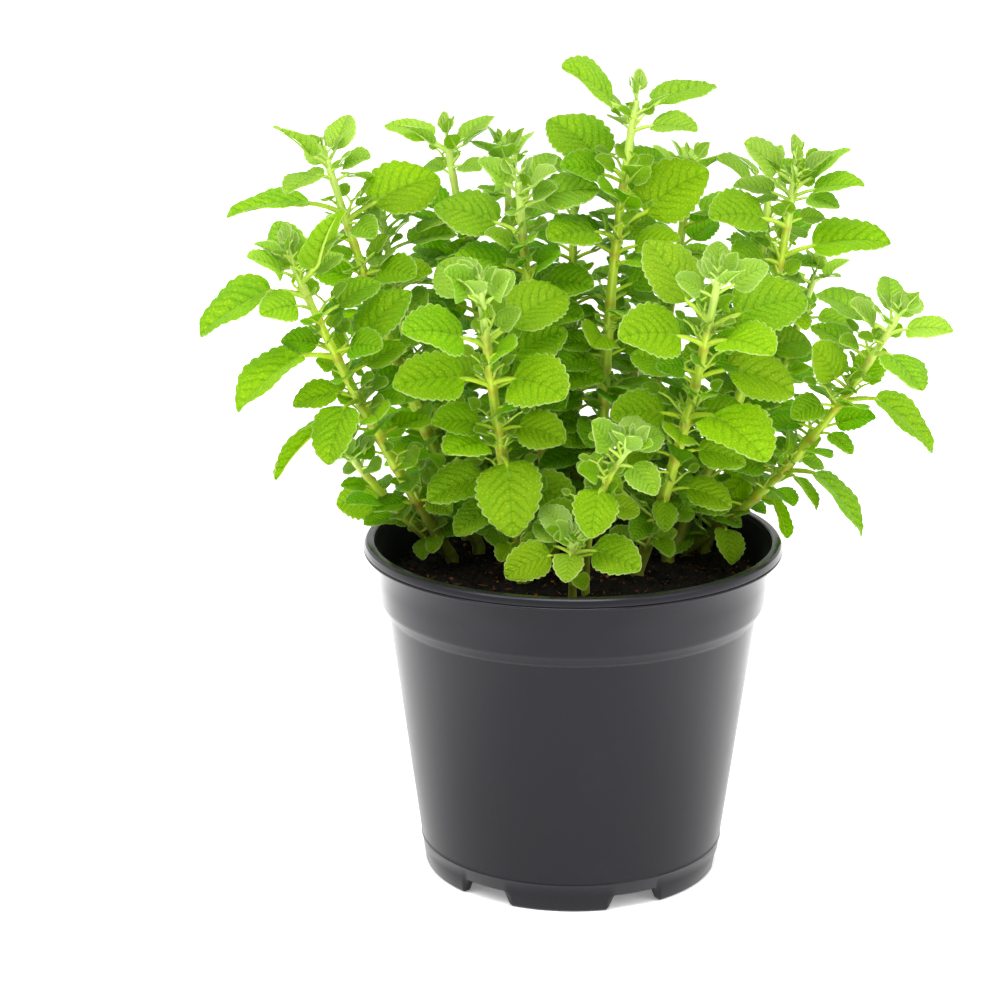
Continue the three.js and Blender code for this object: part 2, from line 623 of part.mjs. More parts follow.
function touches(test, others) {
  const near = others.filter((other) => boxesMeet(test.box, other.box));
  return near.some((other) => !test.solid.intersect(other.solid).isEmpty());
}

// The leaves that follow the rule: crosswise pairs, and two small upright ones round the bud.
function ruledLeaves(stem, stemNumber) {
  const leaves = [];
  const last = stem.leaves.length > 0 ? PAIR_LAST_UNDER : PAIR_LAST_BARE;
  for (let pair = 0; pair < stem.pairs; pair += 1) {
    const place = PAIR_FIRST + ((last - PAIR_FIRST) * (pair + 0.5)) / stem.pairs;
    const middle = Math.sin(Math.PI * Math.min(place * LONGEST_PLACE, 1));
    const length = PAIR_SHORTEST + (PAIR_LONGEST - PAIR_SHORTEST) * middle;
    const rise = PAIR_LOW_RISE + (PAIR_HIGH_RISE - PAIR_LOW_RISE) * place;
    for (let half = 0; half < 2; half += 1) {
      const key = pair * 2 + half;
      const azimuth = stemNumber * STEM_TURN + PAIR_TURN * pair + 180 * half
        + PAIR_SCATTER * (2 * scatter(stemNumber, key) - 1);
      const share = 1 + LENGTH_SCATTER * (scatter(key, stemNumber) - 0.5);
      leaves.push([place, azimuth, length * share, rise]);
    }
  }
  for (let half = 0; half < 2 && stem.leaves.length === 0; half += 1) {
    leaves.push([CROWN_PLACE, stemNumber * CROWN_TURN + 180 * half, CROWN_LENGTH, CROWN_RISE]);
  }
  return leaves;
}

// Grow the plant: stems first, then the leaves that were set by hand, then the ruled ones.
const plants = STEMS.map((stem, number) => ({
  stem,
  number,
  tube: withBox(tubeSolid(stemSpine(stem))),
  leaves: [],
  blades: [],
}));

let soil = soilBody();
plants.forEach(({ stem }) => {
  soil = soil.subtract(tubeSolid(holeSpine(stem)));
});
const pot = potSolid();
const holders = [withBox(soil), withBox(pot)];

function growLeaf(plant, leaf) {
  const strangers = plants.filter((other) => other !== plant)
    .flatMap((other) => [other.tube, ...other.leaves]);
  for (const bend of BENDS) {
    const growth = leafGrowth(plant.stem, leaf, bend);
    const fat = withBox(leafSolid(growth, true, LEAF_CLEARANCE));
    const fatBlade = withBox(leafSolid(growth, false, LEAF_CLEARANCE));
    if (!touches(fat, strangers) && !touches(fat, holders) && !touches(fatBlade, plant.blades)) {
      plant.leaves.push(withBox(leafSolid(growth, true, 0)));
      plant.blades.push(withBox(leafSolid(growth, false, 0)));
      return;
    }
  }
}

plants.forEach((plant) => plant.stem.leaves.forEach((leaf) => growLeaf(plant, leaf)));
plants.forEach((plant) => ruledLeaves(plant.stem, plant.number).forEach((leaf) => growLeaf(plant, leaf)));

function named(name, solid, material) {
  const mesh = new THREE.Mesh(geometryFrom(solid), material);
  mesh.name = name;
  return mesh;
}

const group = new THREE.Group();
const plastic = new THREE.MeshStandardMaterial({ color: 0x2c2c2f, roughness: 0.45, metalness: 0 });
const peat = new THREE.MeshStandardMaterial({ color: 0x2a1a10, roughness: 0.95, metalness: 0 });
group.add(named('pot', pot, plastic));
group.add(named('soil', soil, peat));
plants.forEach(({ stem, tube, leaves }) => {
  const leafy = leaves.reduce((whole, leaf) => whole.add(leaf.solid), tube.solid).simplify(SAME_FACE);
  const green = new THREE.MeshStandardMaterial({ color: 0x6fae1f, roughness: 0.6, metalness: 0 });
  group.add(named(stem.name, leafy, green));
});

export default group;
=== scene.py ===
"""Potted oregano: a bush of leafy stems in a black nursery pot, on a pale floor in soft light.

Sizes are millimetres here, as in the part's own source, and become metres where a mesh is made.
The origin is on the pot's axis at the surface it stands on, and -Y is the front.
"""

import math
from collections import namedtuple

import bpy
import numpy as np
from mathutils import Matrix, Vector


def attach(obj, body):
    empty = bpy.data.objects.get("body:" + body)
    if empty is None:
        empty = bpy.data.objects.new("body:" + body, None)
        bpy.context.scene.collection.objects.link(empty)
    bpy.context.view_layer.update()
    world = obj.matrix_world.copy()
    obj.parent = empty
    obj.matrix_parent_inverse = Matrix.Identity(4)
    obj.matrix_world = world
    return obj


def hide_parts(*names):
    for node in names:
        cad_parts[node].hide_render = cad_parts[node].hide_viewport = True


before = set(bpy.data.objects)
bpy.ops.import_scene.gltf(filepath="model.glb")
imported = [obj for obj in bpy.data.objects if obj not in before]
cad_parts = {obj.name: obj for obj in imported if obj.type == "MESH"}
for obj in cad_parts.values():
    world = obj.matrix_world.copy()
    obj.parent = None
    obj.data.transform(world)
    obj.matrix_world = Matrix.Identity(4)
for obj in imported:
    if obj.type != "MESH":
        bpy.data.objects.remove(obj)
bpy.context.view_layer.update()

MM = 0.001
SEED = 7
UP = np.array([0.0, 0.0, 1.0])

# Camera, fitted to the photo: where it stands, and its turn down and to the side in degrees.
CAMERA_PLACE = (0.08, -839.35, 355.14)
CAMERA_DOWN = 15.808
CAMERA_SIDE = -1.549
SENSOR_WIDTH = 36.0
LENS = 101.5
CLIP = (0.05, 20.0)

# Pot, as the part has it.
POT_HEIGHT = 106.0
RIM_RADIUS = 65.0
RIM_INNER_RADIUS = 61.2
RIM_DEPTH = 3.6
COLLAR_TOP_RADIUS = 60.9
COLLAR_FOOT_RADIUS = 59.8
COLLAR_FOOT_HEIGHT = 86.0
BODY_TOP_RADIUS = 57.3
BODY_TOP_HEIGHT = 82.7
FOOT_RADIUS = 46.2
FOOT_EDGE = 0.9
FOOT_RING_WIDTH = 2.9
WALL = 1.5
FLOOR_UNDERSIDE = 5.6
FLOOR_THICKNESS = 1.6
FOOT_COUNT = 6
FIRST_NOTCH_ANGLE = -64.5
NOTCH_HEIGHT = 4.8
NOTCH_TOP_WIDTH = 14.0
NOTCH_FOOT_WIDTH = 18.5
DRAIN_RADIUS = 4.0
DRAIN_CIRCLE_RADIUS = 31.0

# Pot, finer than the part: columns round it, the parting line above the foot and its bead, rows up
# the wall, the lip round the foot of the rim, the rim's lean and the rows that are inside.
POT_COLUMNS = 180
NOTCH_COLUMNS = 7
DRAIN_SIDES = 24
PARTING_HEIGHT = 9.2
PARTING_PROUD = 0.22
PARTING_HALF = 0.35
PARTING_STEPS = (-1.0, -0.6, 0.0, 0.6, 1.0)
WALL_ROWS = (10.4, 25.0, 45.0, 65.0, 79.0, 82.2, 82.68)
RIM_LIP = 0.42
RIM_LEAN = 0.45
CREST_RADIUS = 0.5
# The rows inside the pot are dulled, and darkened nearly to black as painted shade.
INNER_ROWS = 6

# The step under the collar: its foot, then how far out and up it goes from there. The groove round
# the rim: how far in and up it goes from the rim's radius and underside.
STEP_FOOT = (57.42, 82.8)
STEP_RISE = ((0.0, 0.0), (0.07, 0.08), (0.46, 0.55), (0.52, 0.64), (0.62, 0.86), (1.36, 2.2),
             (1.9, 3.2))
RIM_GROOVE = ((0.1, 0.66), (0.18, 0.74), (0.52, 1.1), (0.6, 1.18), (0.66, 1.2), (0.68, 1.3))

# Soil: its edge, crown and underside as the part has them, a broad and a narrow wave in its top as
# height and radians per millimetre along x and y, then its grain.
SOIL_EDGE_HEIGHT = 93.4
SOIL_EDGE_RADIUS = 58.3
SOIL_CROWN = 1.2
SOIL_WALL = ((BODY_TOP_RADIUS - WALL - 0.3, 81.0), (45.4, 7.5), (0.01, 7.5))
SOIL_WAVES = ((0.5, 0.21, 0.17), (0.35, 0.53, 0.41))
SOIL_GRAIN = 0.35
SOIL_RINGS = 64
SOIL_COLUMNS = 160

# Crumbs and fibres that lie on the soil. A crumb over CRUMB_LUMP has more corners than a smaller one.
CRUMB_COUNT = 5600
CRUMB_SPREAD = 0.985
CRUMB_SIZES = (0.14, 0.7)
CRUMB_LUMP = 0.45
CRUMB_SCATTER = 0.35
CRUMB_STRETCH = (0.6, 1.2)
FIBRE_COUNT = 160
FIBRE_FROM_EDGE = 3
FIBRE_LENGTHS = (1.5, 4.0)
FIBRE_RADII = (0.1, 0.22, 0.2, 0.08)
FIBRE_SLOPES = (-0.3, 0.6)
FIBRE_WARMTH = 0.85

# Stems and leaves, with the part's own numbers.
BASE_HEIGHT = 96.0
ROOT_HEIGHT = 72.0
STEM_FOOT_RADIUS = 2.1
STEM_TIP_RADIUS = 1.3
STALK_SHARE = 0.36
STALK_EXTRA = 1.5
STALK_RISE = 20.0
STALK_FOLLOWS_BLADE = 1 / 3
STALK_HALF_SHARE = 0.028
STALK_HALF_EXTRA = 0.25
LEAF_ARCH = 30.0
ARCH_CENTRE = 0.4
LENGTH_PER_WIDTH = 1.18
FOLD_RISE = 0.17
OUTLINE_START_POWER = 0.42
OUTLINE_END_POWER = 0.7
EVEN_SPACING = 0.55
FACE_OUTWARD = 0.55
FACE_FRONT = 0.65
BENDS = (
    (0, 0, 1), (9, 4, 1), (-9, 4, 1), (0, 11, 1), (17, -8, 0.97), (-17, -8, 0.97),
    (0, -13, 1), (26, 9, 0.93), (-26, 9, 0.93), (38, -4, 0.88), (-38, -4, 0.88),
    (0, 25, 0.85), (54, 8, 0.8), (-54, 8, 0.8), (20, 35, 0.72), (-20, 35, 0.72),
)
PAIR_FIRST = 0.2
PAIR_LAST_BARE = 0.95
PAIR_LAST_UNDER = 0.76
PAIR_TURN = 90.0
PAIR_SCATTER = 24.0
PAIR_SHORTEST = 11.0
PAIR_LONGEST = 16.5
PAIR_LOW_RISE = -26.0
PAIR_HIGH_RISE = 34.0
CROWN_PLACE = 0.995
CROWN_LENGTH = 7.5
CROWN_RISE = 64.0
STEM_TURN = 37
CROWN_TURN = 53
LONGEST_PLACE = 1.1
LENGTH_SCATTER = 0.2
SAME_POINT = 0.05

# Leaves, finer than the part: rounded teeth, quilting between the veins, thin pale edge. A young
# leaf has a slimmer outline and smoother teeth.
TOOTH_DEPTH = 0.1
TOOTH_ROOT = 0.6
TOOTH_LEAN = 0.55
YOUNG_TEETH = 0.4
YOUNG_END_POWER = 0.8
FOLD_ROUND = 0.8
VEIN_SPACING = 0.145
VEIN_LEAN = 0.75
VEIN_CURVE = 1.1
QUILT_SHARE = 0.026
BULGE_SHARE = 0.055
MARGIN_WAVE = 0.02
MARGIN_WAVES = 1.6
MARGIN_CURLS = (-0.045, 0.03)
CUP_SCATTER = 0.1
RIB_CLEAR = 1.1
BLADE_TIP_SHARE = 0.04

# Fineness of a blade by its length: teeth each side, rows for a tooth, columns each side.
FINENESS = ((19.5, 10, 4, 7), (11.5, 8, 4, 5), (7.0, 6, 3, 4), (0.0, 4, 3, 3))

# Fineness of a stalk: rows up the stalk, rows along the rib and corners round both, for leaves from
# STALK_FINE_FROM and for smaller ones. Then how high the stalk arches, its thickness at either end
# as a share of the part's, the rib's stretch and thickness under the blade, and the place up a stem
# whose colour stalks and shoots take.
STALK_FINE_FROM = 7.0
STALK_FINE = (5, 6, 6)
STALK_PLAIN = (3, 3, 5)
STALK_ARCH = 0.1
STALK_SWELLS = (1.05, 0.75)
RIB_STRETCH = (0.08, 0.86)
RIB_THICKNESS = 0.7
RIB_UNDER = 0.1
STALK_COLOUR_PLACE = 0.35

# Stems, finer than the part: corners round them, rows along them, how much their sides draw in
# between the corners, how much they swell at each pair of leaves, and their hairs.
STEM_SIDES = 12
STEM_ROW_SPACING = 1.3
STEM_FOOT_ROWS = (ROOT_HEIGHT, 84.0, 92.0)
STEM_SQUARENESS = 0.16
STEM_TOP_SLIMNESS = 0.82
NODE_SWELLING = 0.16
NODE_REACH = 1.3
SPRIG_STOUTNESS = 0.62
STEM_HAIRS_PER_MM = 4.0
STEM_HAIR_LENGTHS = (0.3, 0.8)
STEM_HAIR_WIDTH = 0.06
LEAF_HAIRS_PER_MM = 1.1
YOUNG_HAIRS_PER_MM = 1.6
LEAF_HAIR_LENGTHS = (0.21, 0.504)
LEAF_HAIR_WIDTH = 0.05

# Crowns: rings of young leaves at a place up the stem, with their length, rise and slimness, and
# three bud leaves over the tip.
CROWN_RINGS = ((0.965, 10.5, 34, 0.97), (1.0, 6.5, 58, 0.92))
CROWN_TURN_SCATTER = 30
CROWN_SCATTER = (0.85, 1.15)
CROWN_YOUTH = 0.9
CROWN_FRONT = 0.2
CROWN_CUP = 0.2
BUD_LEAVES = 3
BUD_LENGTH = 3.4
BUD_RISE = 80
BUD_SLIMNESS = 0.75
BUD_HEIGHT = 2.2

# Side shoots over the larger leaves. A long one has a second pair of leaves.
SHOOT_BEARER = 9.0
SHOOT_LAST_PLACE = 0.93
SHOOT_REACHES = (3.0, 8.5)
SHOOT_SHORTENING = (1.15, 0.7)
SHOOT_LONG = 5
SHOOT_LEAVES = (4.2, 7.2)
SHOOT_SECOND_SHARE = 0.8
SHOOT_RISES = (30, 62)
SHOOT_SWING = 50
SHOOT_RADII = (0.62, 0.42)
SHOOT_SIDES = 5
SHOOT_LIFT = 0.15
SHOOT_CLEARANCE = 1.8
SHOOT_YOUTH = 0.35
SHOOT_LEAF_TURN = 36
SHOOT_LEAF_RISES = (6, 48)
SHOOT_LEAF_SCATTER = (0.8, 1.15)

# Side shoots from the foot of the stem.
LOW_SHOOTS = 3
LOW_SHOOT_PLACES = (0.03, 0.2)
LOW_SHOOT_RISES = (24, 56)
LOW_SHOOT_REACHES = (8, 15)
LOW_SHOOT_LEAVES = (8.2, 6.4)
GOLDEN_TURN = 137.5

# Inner leaves, between the part's own, where there is room: their places up the stem, step from pair
# to pair, lengths and turn. Some stems have more and larger ones.
INNER_PLACES = (0.1, 0.86)
INNER_STEP = 0.085
INNER_SIZES = (8.0, 13.5)
INNER_TURN = 45
INNER_CLEARANCE = 3.4
# Inner leaves take a youth below nought: a deeper, darker green, partly the colour of older leaves and
# partly painted shade deep in the bush.
INNER_YOUTH_AND_SHADE = -0.8
INNER_RISE_SCATTER = 20
DEEP_STEMS = ("stem_tall_centre", "stem_centre_left", "stem_centre_back", "stem_centre_front",
              "stem_back_middle", "stem_back_right", "stem_right_inner", "stem_left_inner",
              "stem_rear_left", "stem_rear_mid_left", "stem_rear_mid_right", "stem_rear_right")
DEEP_STEP = 0.06
DEEP_SIZES = (11.0, 16.0)
DEEP_TURN = 20

# Where along a leaf its room is measured, and how far leaves keep from the soil and the pot.
CROWD_SHARES = (0.1, 0.3, 0.5, 0.7, 0.9)
OVER_SOIL = 2.0

# Mates: leaves across the stem from the larger upper leaves that the part leaves single.
MATE_FIRST_PLACE = 0.4
MATE_BEARER = 10.0
MATE_SHARE = 0.8
MATE_LONGEST = 16.0
MATE_REACH = 0.035
MATE_CLEARANCE = 2.4

# Stage, in metres: the floor's half width, then each lamp's name, place, target, width and height,
# and power in watts.
FLOOR_HALF = 6.0
LAMPS = (
    ("key_left", (-1.1, -0.9, 1.7), (0, 0, 0.12), (1.0, 1.0), 16),
    ("top_soft", (0.0, -0.7, 1.5), (0, 0, 0.12), (0.9, 0.5), 15),
    ("fill_right", (0.8, -0.6, 0.6), (0.25, -0.2, 0.0), (0.6, 0.6), 5),
    ("fill_left", (-0.8, -0.5, 0.6), (-0.25, -0.15, 0.0), (0.6, 0.6), 2),
)

LEAF, STEM, HAIR = range(3)

Stem = namedtuple("Stem", "name base bend tip pairs leaves")

# Each stem: where it leaves the soil, the point it bends towards, its tip, how many pairs of
# leaves follow the rule, and its other leaves: place along the stem, direction in degrees,
# length of the blade, rise in degrees and, where it isn't FACE_FRONT, how far it faces the front.
STEMS = (
    Stem("stem_tall_centre", (9, 14), (7, -4, 173), (18, 2, 241), 3, (
        (0.96, -145, 22, 36, 0.4), (0.96, 33, 22, 13, -0.1), (0.93, -24, 15, 0), (0.93, 118, 9, 10),
        (0.83, 144, 23, 30, 1.5), (0.81, -63, 11, 35), (0.72, 7, 23, 35, 1.4), (0.7, -141, 19, 2, 0),
        (0.69, 45, 12, 17), (0.56, 135, 15, -20), (0.56, 50, 16, -10), (0.42, 130, 15, 5),
        (0.35, -53, 18, 14), (0.34, 156, 16, -32),
    )),
    Stem("stem_front_left", (-15, -12), (-23, -12, 138), (-27, -46, 193), 1, (
        (0.94, 125, 18, 22), (0.95, -135, 13, 44), (0.95, -45, 11, 47), (0.82, -142, 22, 14),
        (0.83, 40, 23, 20), (0.85, -8, 9, 46), (0.74, 26, 19, 22), (0.7, -47, 23, -2),
        (0.69, -160, 22, 0), (0.54, -159, 15, 8), (0.54, -27, 16, -8),
        (0.45, -81, 24, -50), (0.36, -168, 18, -20), (0.26, -164, 14, -34),
        (0.34, -9, 16, -28), (0.13, -112, 9, -20),
    )),
    Stem("stem_front_right", (20, -4), (35, -18, 144), (41, -44, 196), 1, (
        (0.95, 82, 12, 62), (0.95, -4, 12, 32), (0.94, -151, 10, 30), (0.86, 149, 22, 52),
        (0.84, 20, 23, 9), (0.79, -147, 22, 8), (0.79, -48, 20, 0), (0.68, 15, 23, -20),
        (0.66, 150, 16, 15), (0.55, -50, 26, -18), (0.54, -163, 17, 2),
        (0.42, -7, 15, -14), (0.41, 165, 14, -14), (0.29, -9, 15, -20), (0.27, -88, 10, -52),
        (0.12, -60, 9, -22),
    )),
    Stem("stem_right_top", (30, 12), (63, 8, 166), (66, 6, 221), 3, (
        (0.95, -155, 15, 42, 1), (0.93, 9, 15, 39, 0), (0.91, -17, 16, 10, 0.5), (0.91, -117, 8, 32),
        (0.9, -28, 11, -9, 0.9), (0.83, -147, 21, 9), (0.84, 14, 8, 1, 0.8), (0.75, -5, 24, 6, 0.5),
        (0.73, -130, 17, 5), (0.6, -60, 15, -8), (0.6, 110, 15, -6),
    )),
    Stem("stem_far_right", (36, 20), (70, 2, 124), (97, -8, 178), 0, (
        (0.97, 90, 13, 45), (0.99, 47, 9, 14), (0.94, 142, 19, 21), (0.95, -150, 12, 40),
        (0.94, -27, 15, 6), (0.88, -58, 18, -24), (0.86, 150, 15, 24), (0.76, -160, 16, 61, 2.2),
        (0.72, -3, 25, -40, 0.3), (0.7, -147, 12, -11), (0.6, -37, 10, -30), (0.58, 130, 12, 5),
        (0.47, -99, 11, 70), (0.44, -25, 25, -46, 0.1), (0.47, 24, 9, -20), (0.43, -52, 14, -37, -0.1),
        (0.32, 98, 10, 34), (0.32, -39, 13, -69, -0.5), (0.16, -80, 13, -42),
    )),
    Stem("stem_left_top", (-30, 22), (-59, 8, 164), (-75, 6, 222), 3, (
        (0.98, -139, 17, 38, 0.5), (0.99, 66, 13, 51, 1.2), (0.97, -33, 11, 19),
        (0.95, -127, 15, -12, 0.8), (0.94, 150, 8, 0), (0.86, -172, 26, -6, 0.2),
        (0.84, 34, 25, 16, 1.7), (0.83, -54, 11, -14), (0.78, 123, 13, -30), (0.7, -40, 15, 2),
        (0.62, 60, 16, -4), (0.6, -128, 14, -12),
    )),
    Stem("stem_left", (-38, 10), (-64, -24, 150), (-84, -26, 199), 1, (
        (0.92, -141, 14, 28), (0.91, -51, 23, 58, -0.3), (0.98, 100, 8, 42),
        (0.87, 180, 26, -30, 0.3), (0.83, -162, 15, -10, 1.8), (0.8, 33, 16, 24), (0.7, 141, 14, -10),
        (0.68, 18, 21, 44), (0.62, 20, 14, 24), (0.68, -156, 26, -34, 0.2), (0.55, -172, 14, -13),
        (0.54, -117, 19, -55), (0.53, 50, 13, 30), (0.48, -179, 27, -46, -0.4), (0.43, 160, 14, -26),
        (0.42, 39, 14, 4), (0.32, -68, 13, 14), (0.2, -40, 10, -12), (0.08, -95, 8, -24),
    )),
    Stem("stem_low_left", (-40, 14), (-56, 6, 112), (-67, -14, 134), 0, (
        (0.47, 164, 15, -4, 1.9), (0.84, 132, 8, -6), (0.9, -60, 9, 10),
        (0.95, -140, 8, 34), (0.2, -82, 9, -36), (0.3, 100, 9, 6),
    )),
    Stem("stem_left_inner", (-22, 26), (-48, 22, 120), (-59, 18, 201), 4, (
        (0.98, -147, 9, 60), (0.98, 45, 13, 34), (0.94, 20, 16, 8), (0.93, -135, 14, 0),
        (0.86, 40, 17, -16), (0.84, -60, 13, -6), (0.84, 150, 14, -8),
    )),
    Stem("stem_centre_left", (-16, 34), (-29, 35, 157), (-40, 30, 225), 4, (
        (0.97, 152, 17, 15, 0.3), (0.97, 41, 14, 30), (0.93, -50, 10, 0), (0.91, 130, 10, 4),
        (0.77, 130, 14, -22), (0.75, 34, 14, -16), (0.8, -130, 14, -6), (0.7, -176, 17, -12),
    )),
    Stem("stem_centre_back", (-6, 40), (-19, 40, 152), (-22, 43, 219), 4, (
        (0.98, 82, 9, 36), (0.98, -136, 12, 26), (0.93, -30, 9, 12), (0.88, 110, 12, 4),
        (0.86, -70, 11, -8),
    )),
    Stem("stem_centre_front", (-6, 10), (-12, 4, 158), (-17, -8, 218), 3, (
        (0.97, -139, 13, 38), (0.97, 50, 13, 34), (0.93, 2, 17, 12), (0.95, -29, 9, 20),
        (0.92, -101, 8, 0), (0.86, 172, 20, 14), (0.82, -160, 10, 22), (0.84, 60, 14, 6),
        (0.72, -20, 15, 2), (0.7, 150, 16, -4), (0.56, 60, 16, -4), (0.56, -122, 15, -8),
    )),
    Stem("stem_back_middle", (2, 30), (-2, 26, 155), (0, 28, 217), 4, (
        (0.97, -117, 9, 26), (0.97, 50, 10, 10), (0.86, 160, 12, 8), (0.86, -22, 12, 10),
    )),
    Stem("stem_back_right", (16, 40), (31, 42, 160), (36, 44, 215), 4, (
        (0.97, 180, 10, 44), (0.97, -38, 12, 28), (0.84, 12, 14, 20), (0.84, 175, 16, 28, 1),
    )),
    Stem("stem_right_inner", (30, 32), (61, 33, 164), (60, 34, 214), 4, (
        (0.94, -148, 16, 34), (0.94, 56, 9, -14), (0.99, 60, 7, 50), (0.82, 130, 14, 4),
        (0.82, -52, 13, -2), (0.7, 178, 20, 10, 0.1),
    )),
    Stem("stem_right_low", (42, 24), (61, 26, 136), (75, 30, 183), 2, (
        (0.97, -136, 9, 12), (0.98, -50, 8, 10), (0.99, 70, 7, 40), (0.84, -10, 13, -14),
        (0.84, 150, 13, 0),
    )),
    Stem("sprig_front", (4, -22), (3, -35, 126), (16, -50, 147), 0, (
        (0.92, -138, 12, 54), (0.92, 44, 12, 14), (0.86, -44, 12, -32), (0.74, -135, 9, 22),
        (0.69, -103, 16, -42), (0.5, 20, 10, -14), (0.44, 165, 12, -10), (0.24, 25, 8, -22),
    )),
    Stem("sprig_front_low", (0, -34), (0, -40, 110), (0, -46, 117), 0, (
        (0.86, 140, 11, 18), (0.8, -98, 11, -30), (0.76, -28, 16, -11), (0.65, -168, 15, -22),
        (0.4, -70, 7, -26),
    )),
    Stem("stem_rear_left", (-34, 35), (-50, 38, 130), (-60, 40, 176), 4, ()),
    Stem("stem_rear_mid_left", (-14, 46), (-19, 46, 130), (-24, 41, 178), 4, ()),
    Stem("stem_rear_mid_right", (12, 46), (18, 46, 130), (22, 41, 178), 4, ()),
    Stem("stem_rear_right", (33, 37), (51, 40, 130), (62, 40, 174), 4, ()),
)


def scatter(first, second):
    """A number from 0 to 1 that looks random but is the same each time, as in the part's source."""
    wave = math.sin(first * 12.9898 + second * 78.233) * 43758.5453
    return wave - math.floor(wave)


def unit(vectors):
    """The vectors, each made one long."""
    return vectors / np.linalg.norm(vectors, axis=-1, keepdims=True)


class Gathering:
    """Points and faces of many small surfaces, gathered to make one mesh of them.

    Each point carries three notes of three numbers, which the materials read: place, span and look.
    """

    NOTES = ("place", "span", "look")

    def __init__(self):
        self.points, self.faces, self.slots = [], [], []
        self.notes = {name: [] for name in self.NOTES}
        self.count = 0

    def add(self, points, faces, slot, place=(0, 0, 0), span=(0, 0, 0), look=(0, 0, 0)):
        """Take in a surface; a note is one for all its points, or one for each."""
        points = np.asarray(points, float).reshape(-1, 3)
        self.faces += [[self.count + corner for corner in face] for face in faces]
        self.slots += [slot] * len(faces)
        self.points.append(points)
        for name, note in zip(self.NOTES, (place, span, look), strict=True):
            self.notes[name].append(np.broadcast_to(np.asarray(note, float), points.shape))
        self.count += len(points)

    def make(self, name, materials):
        """The mesh of all that was gathered, as an object of the scene."""
        mesh = bpy.data.meshes.new(name)
        mesh.from_pydata((np.concatenate(self.points) * MM).tolist(), [], self.faces)
        for note, values in self.notes.items():
            made = mesh.attributes.new(note, "FLOAT_VECTOR", "POINT")
            made.data.foreach_set("vector", np.concatenate(values).astype(np.float32).ravel())
        mesh.polygons.foreach_set("material_index", self.slots)
        mesh.polygons.foreach_set("use_smooth", [True] * len(mesh.polygons))
        for material in materials:
            mesh.materials.append(material)
        mesh.update()
        made = bpy.data.objects.new(name, mesh)
        bpy.context.scene.collection.objects.link(made)
        return made


def grid_faces(rows, columns, closed=False):
    """The four-cornered faces of a grid of points, numbered row by row."""
    last = columns if closed else columns - 1
    row, column = np.meshgrid(np.arange(rows - 1), np.arange(last), indexing="ij")
    beside = (column + 1) % columns
    corners = (row * columns + column, row * columns + beside,
               (row + 1) * columns + beside, (row + 1) * columns + column)
    return np.stack(corners, -1).reshape(-1, 4).tolist()


def blended(first, second, share):
    return first + (second - first) * share


def smooth_step(low, high, value):
    share = np.clip((value - low) / (high - low), 0, 1)
    return share * share * (3 - 2 * share)


# The stems.


def stem_point(stem, share):
    """The stem's centre line at a share, or an array of shares, of its length above the soil."""
    share = np.asarray(share, float)[..., None]
    foot = np.array([*stem.base, BASE_HEIGHT], float)
    rest = 1 - share
    return (foot * rest**2 + np.array(stem.bend, float) * 2 * rest * share
            + np.array(stem.tip, float) * share**2)


def stem_radius(share):
    return blended(STEM_FOOT_RADIUS, STEM_TIP_RADIUS, np.asarray(share, float))


def add_tube(into, spine, radii, sides, slot, squareness=0.0, **notes):
    """A tube through the points of a spine, with its corners turned as the part's stems are."""
    along = unit(np.gradient(spine, axis=0))
    first = np.array([1.0, 0, 0]) - along * along[:, :1]
    first = unit(first + 1e-6 * UP)
    second = np.cross(along, first)
    turn = np.arange(sides) * 2 * np.pi / sides
    # Squareness draws the sides in between the four corners.
    corner = np.abs(np.cos(2 * turn)) ** 1.5
    reach = 1 - squareness * (1 - corner)
    ring = (first[:, None] * (np.cos(turn) * reach)[None, :, None]
            + second[:, None] * (np.sin(turn) * reach)[None, :, None])
    points = spine[:, None] + ring * radii[:, None, None]
    faces = grid_faces(len(spine), sides, closed=True)
    faces.append([(len(spine) - 1) * sides + side for side in range(sides)])
    spread = {name: np.repeat(np.asarray(value, float), sides, axis=0)
              for name, value in notes.items()}
    if squareness:
        spread["look"][:, 2] = np.tile(corner, len(spine))
    into.add(points, faces, slot, **spread)
    return points, unit(ring)


def is_sprig(stem):
    """True for the two short sprigs at the front: slim, with no inner leaves and no low shoots."""
    return stem.name.startswith("sprig")


def stem_nodes(stem, leaves):
    """Where along the stem its pairs of leaves stand, each once."""
    nodes = []
    for place in sorted(leaf.place for leaf in leaves):
        if not nodes or place - nodes[-1] > 0.03:
            nodes.append(place)
    return np.array(nodes)


# The leaves.


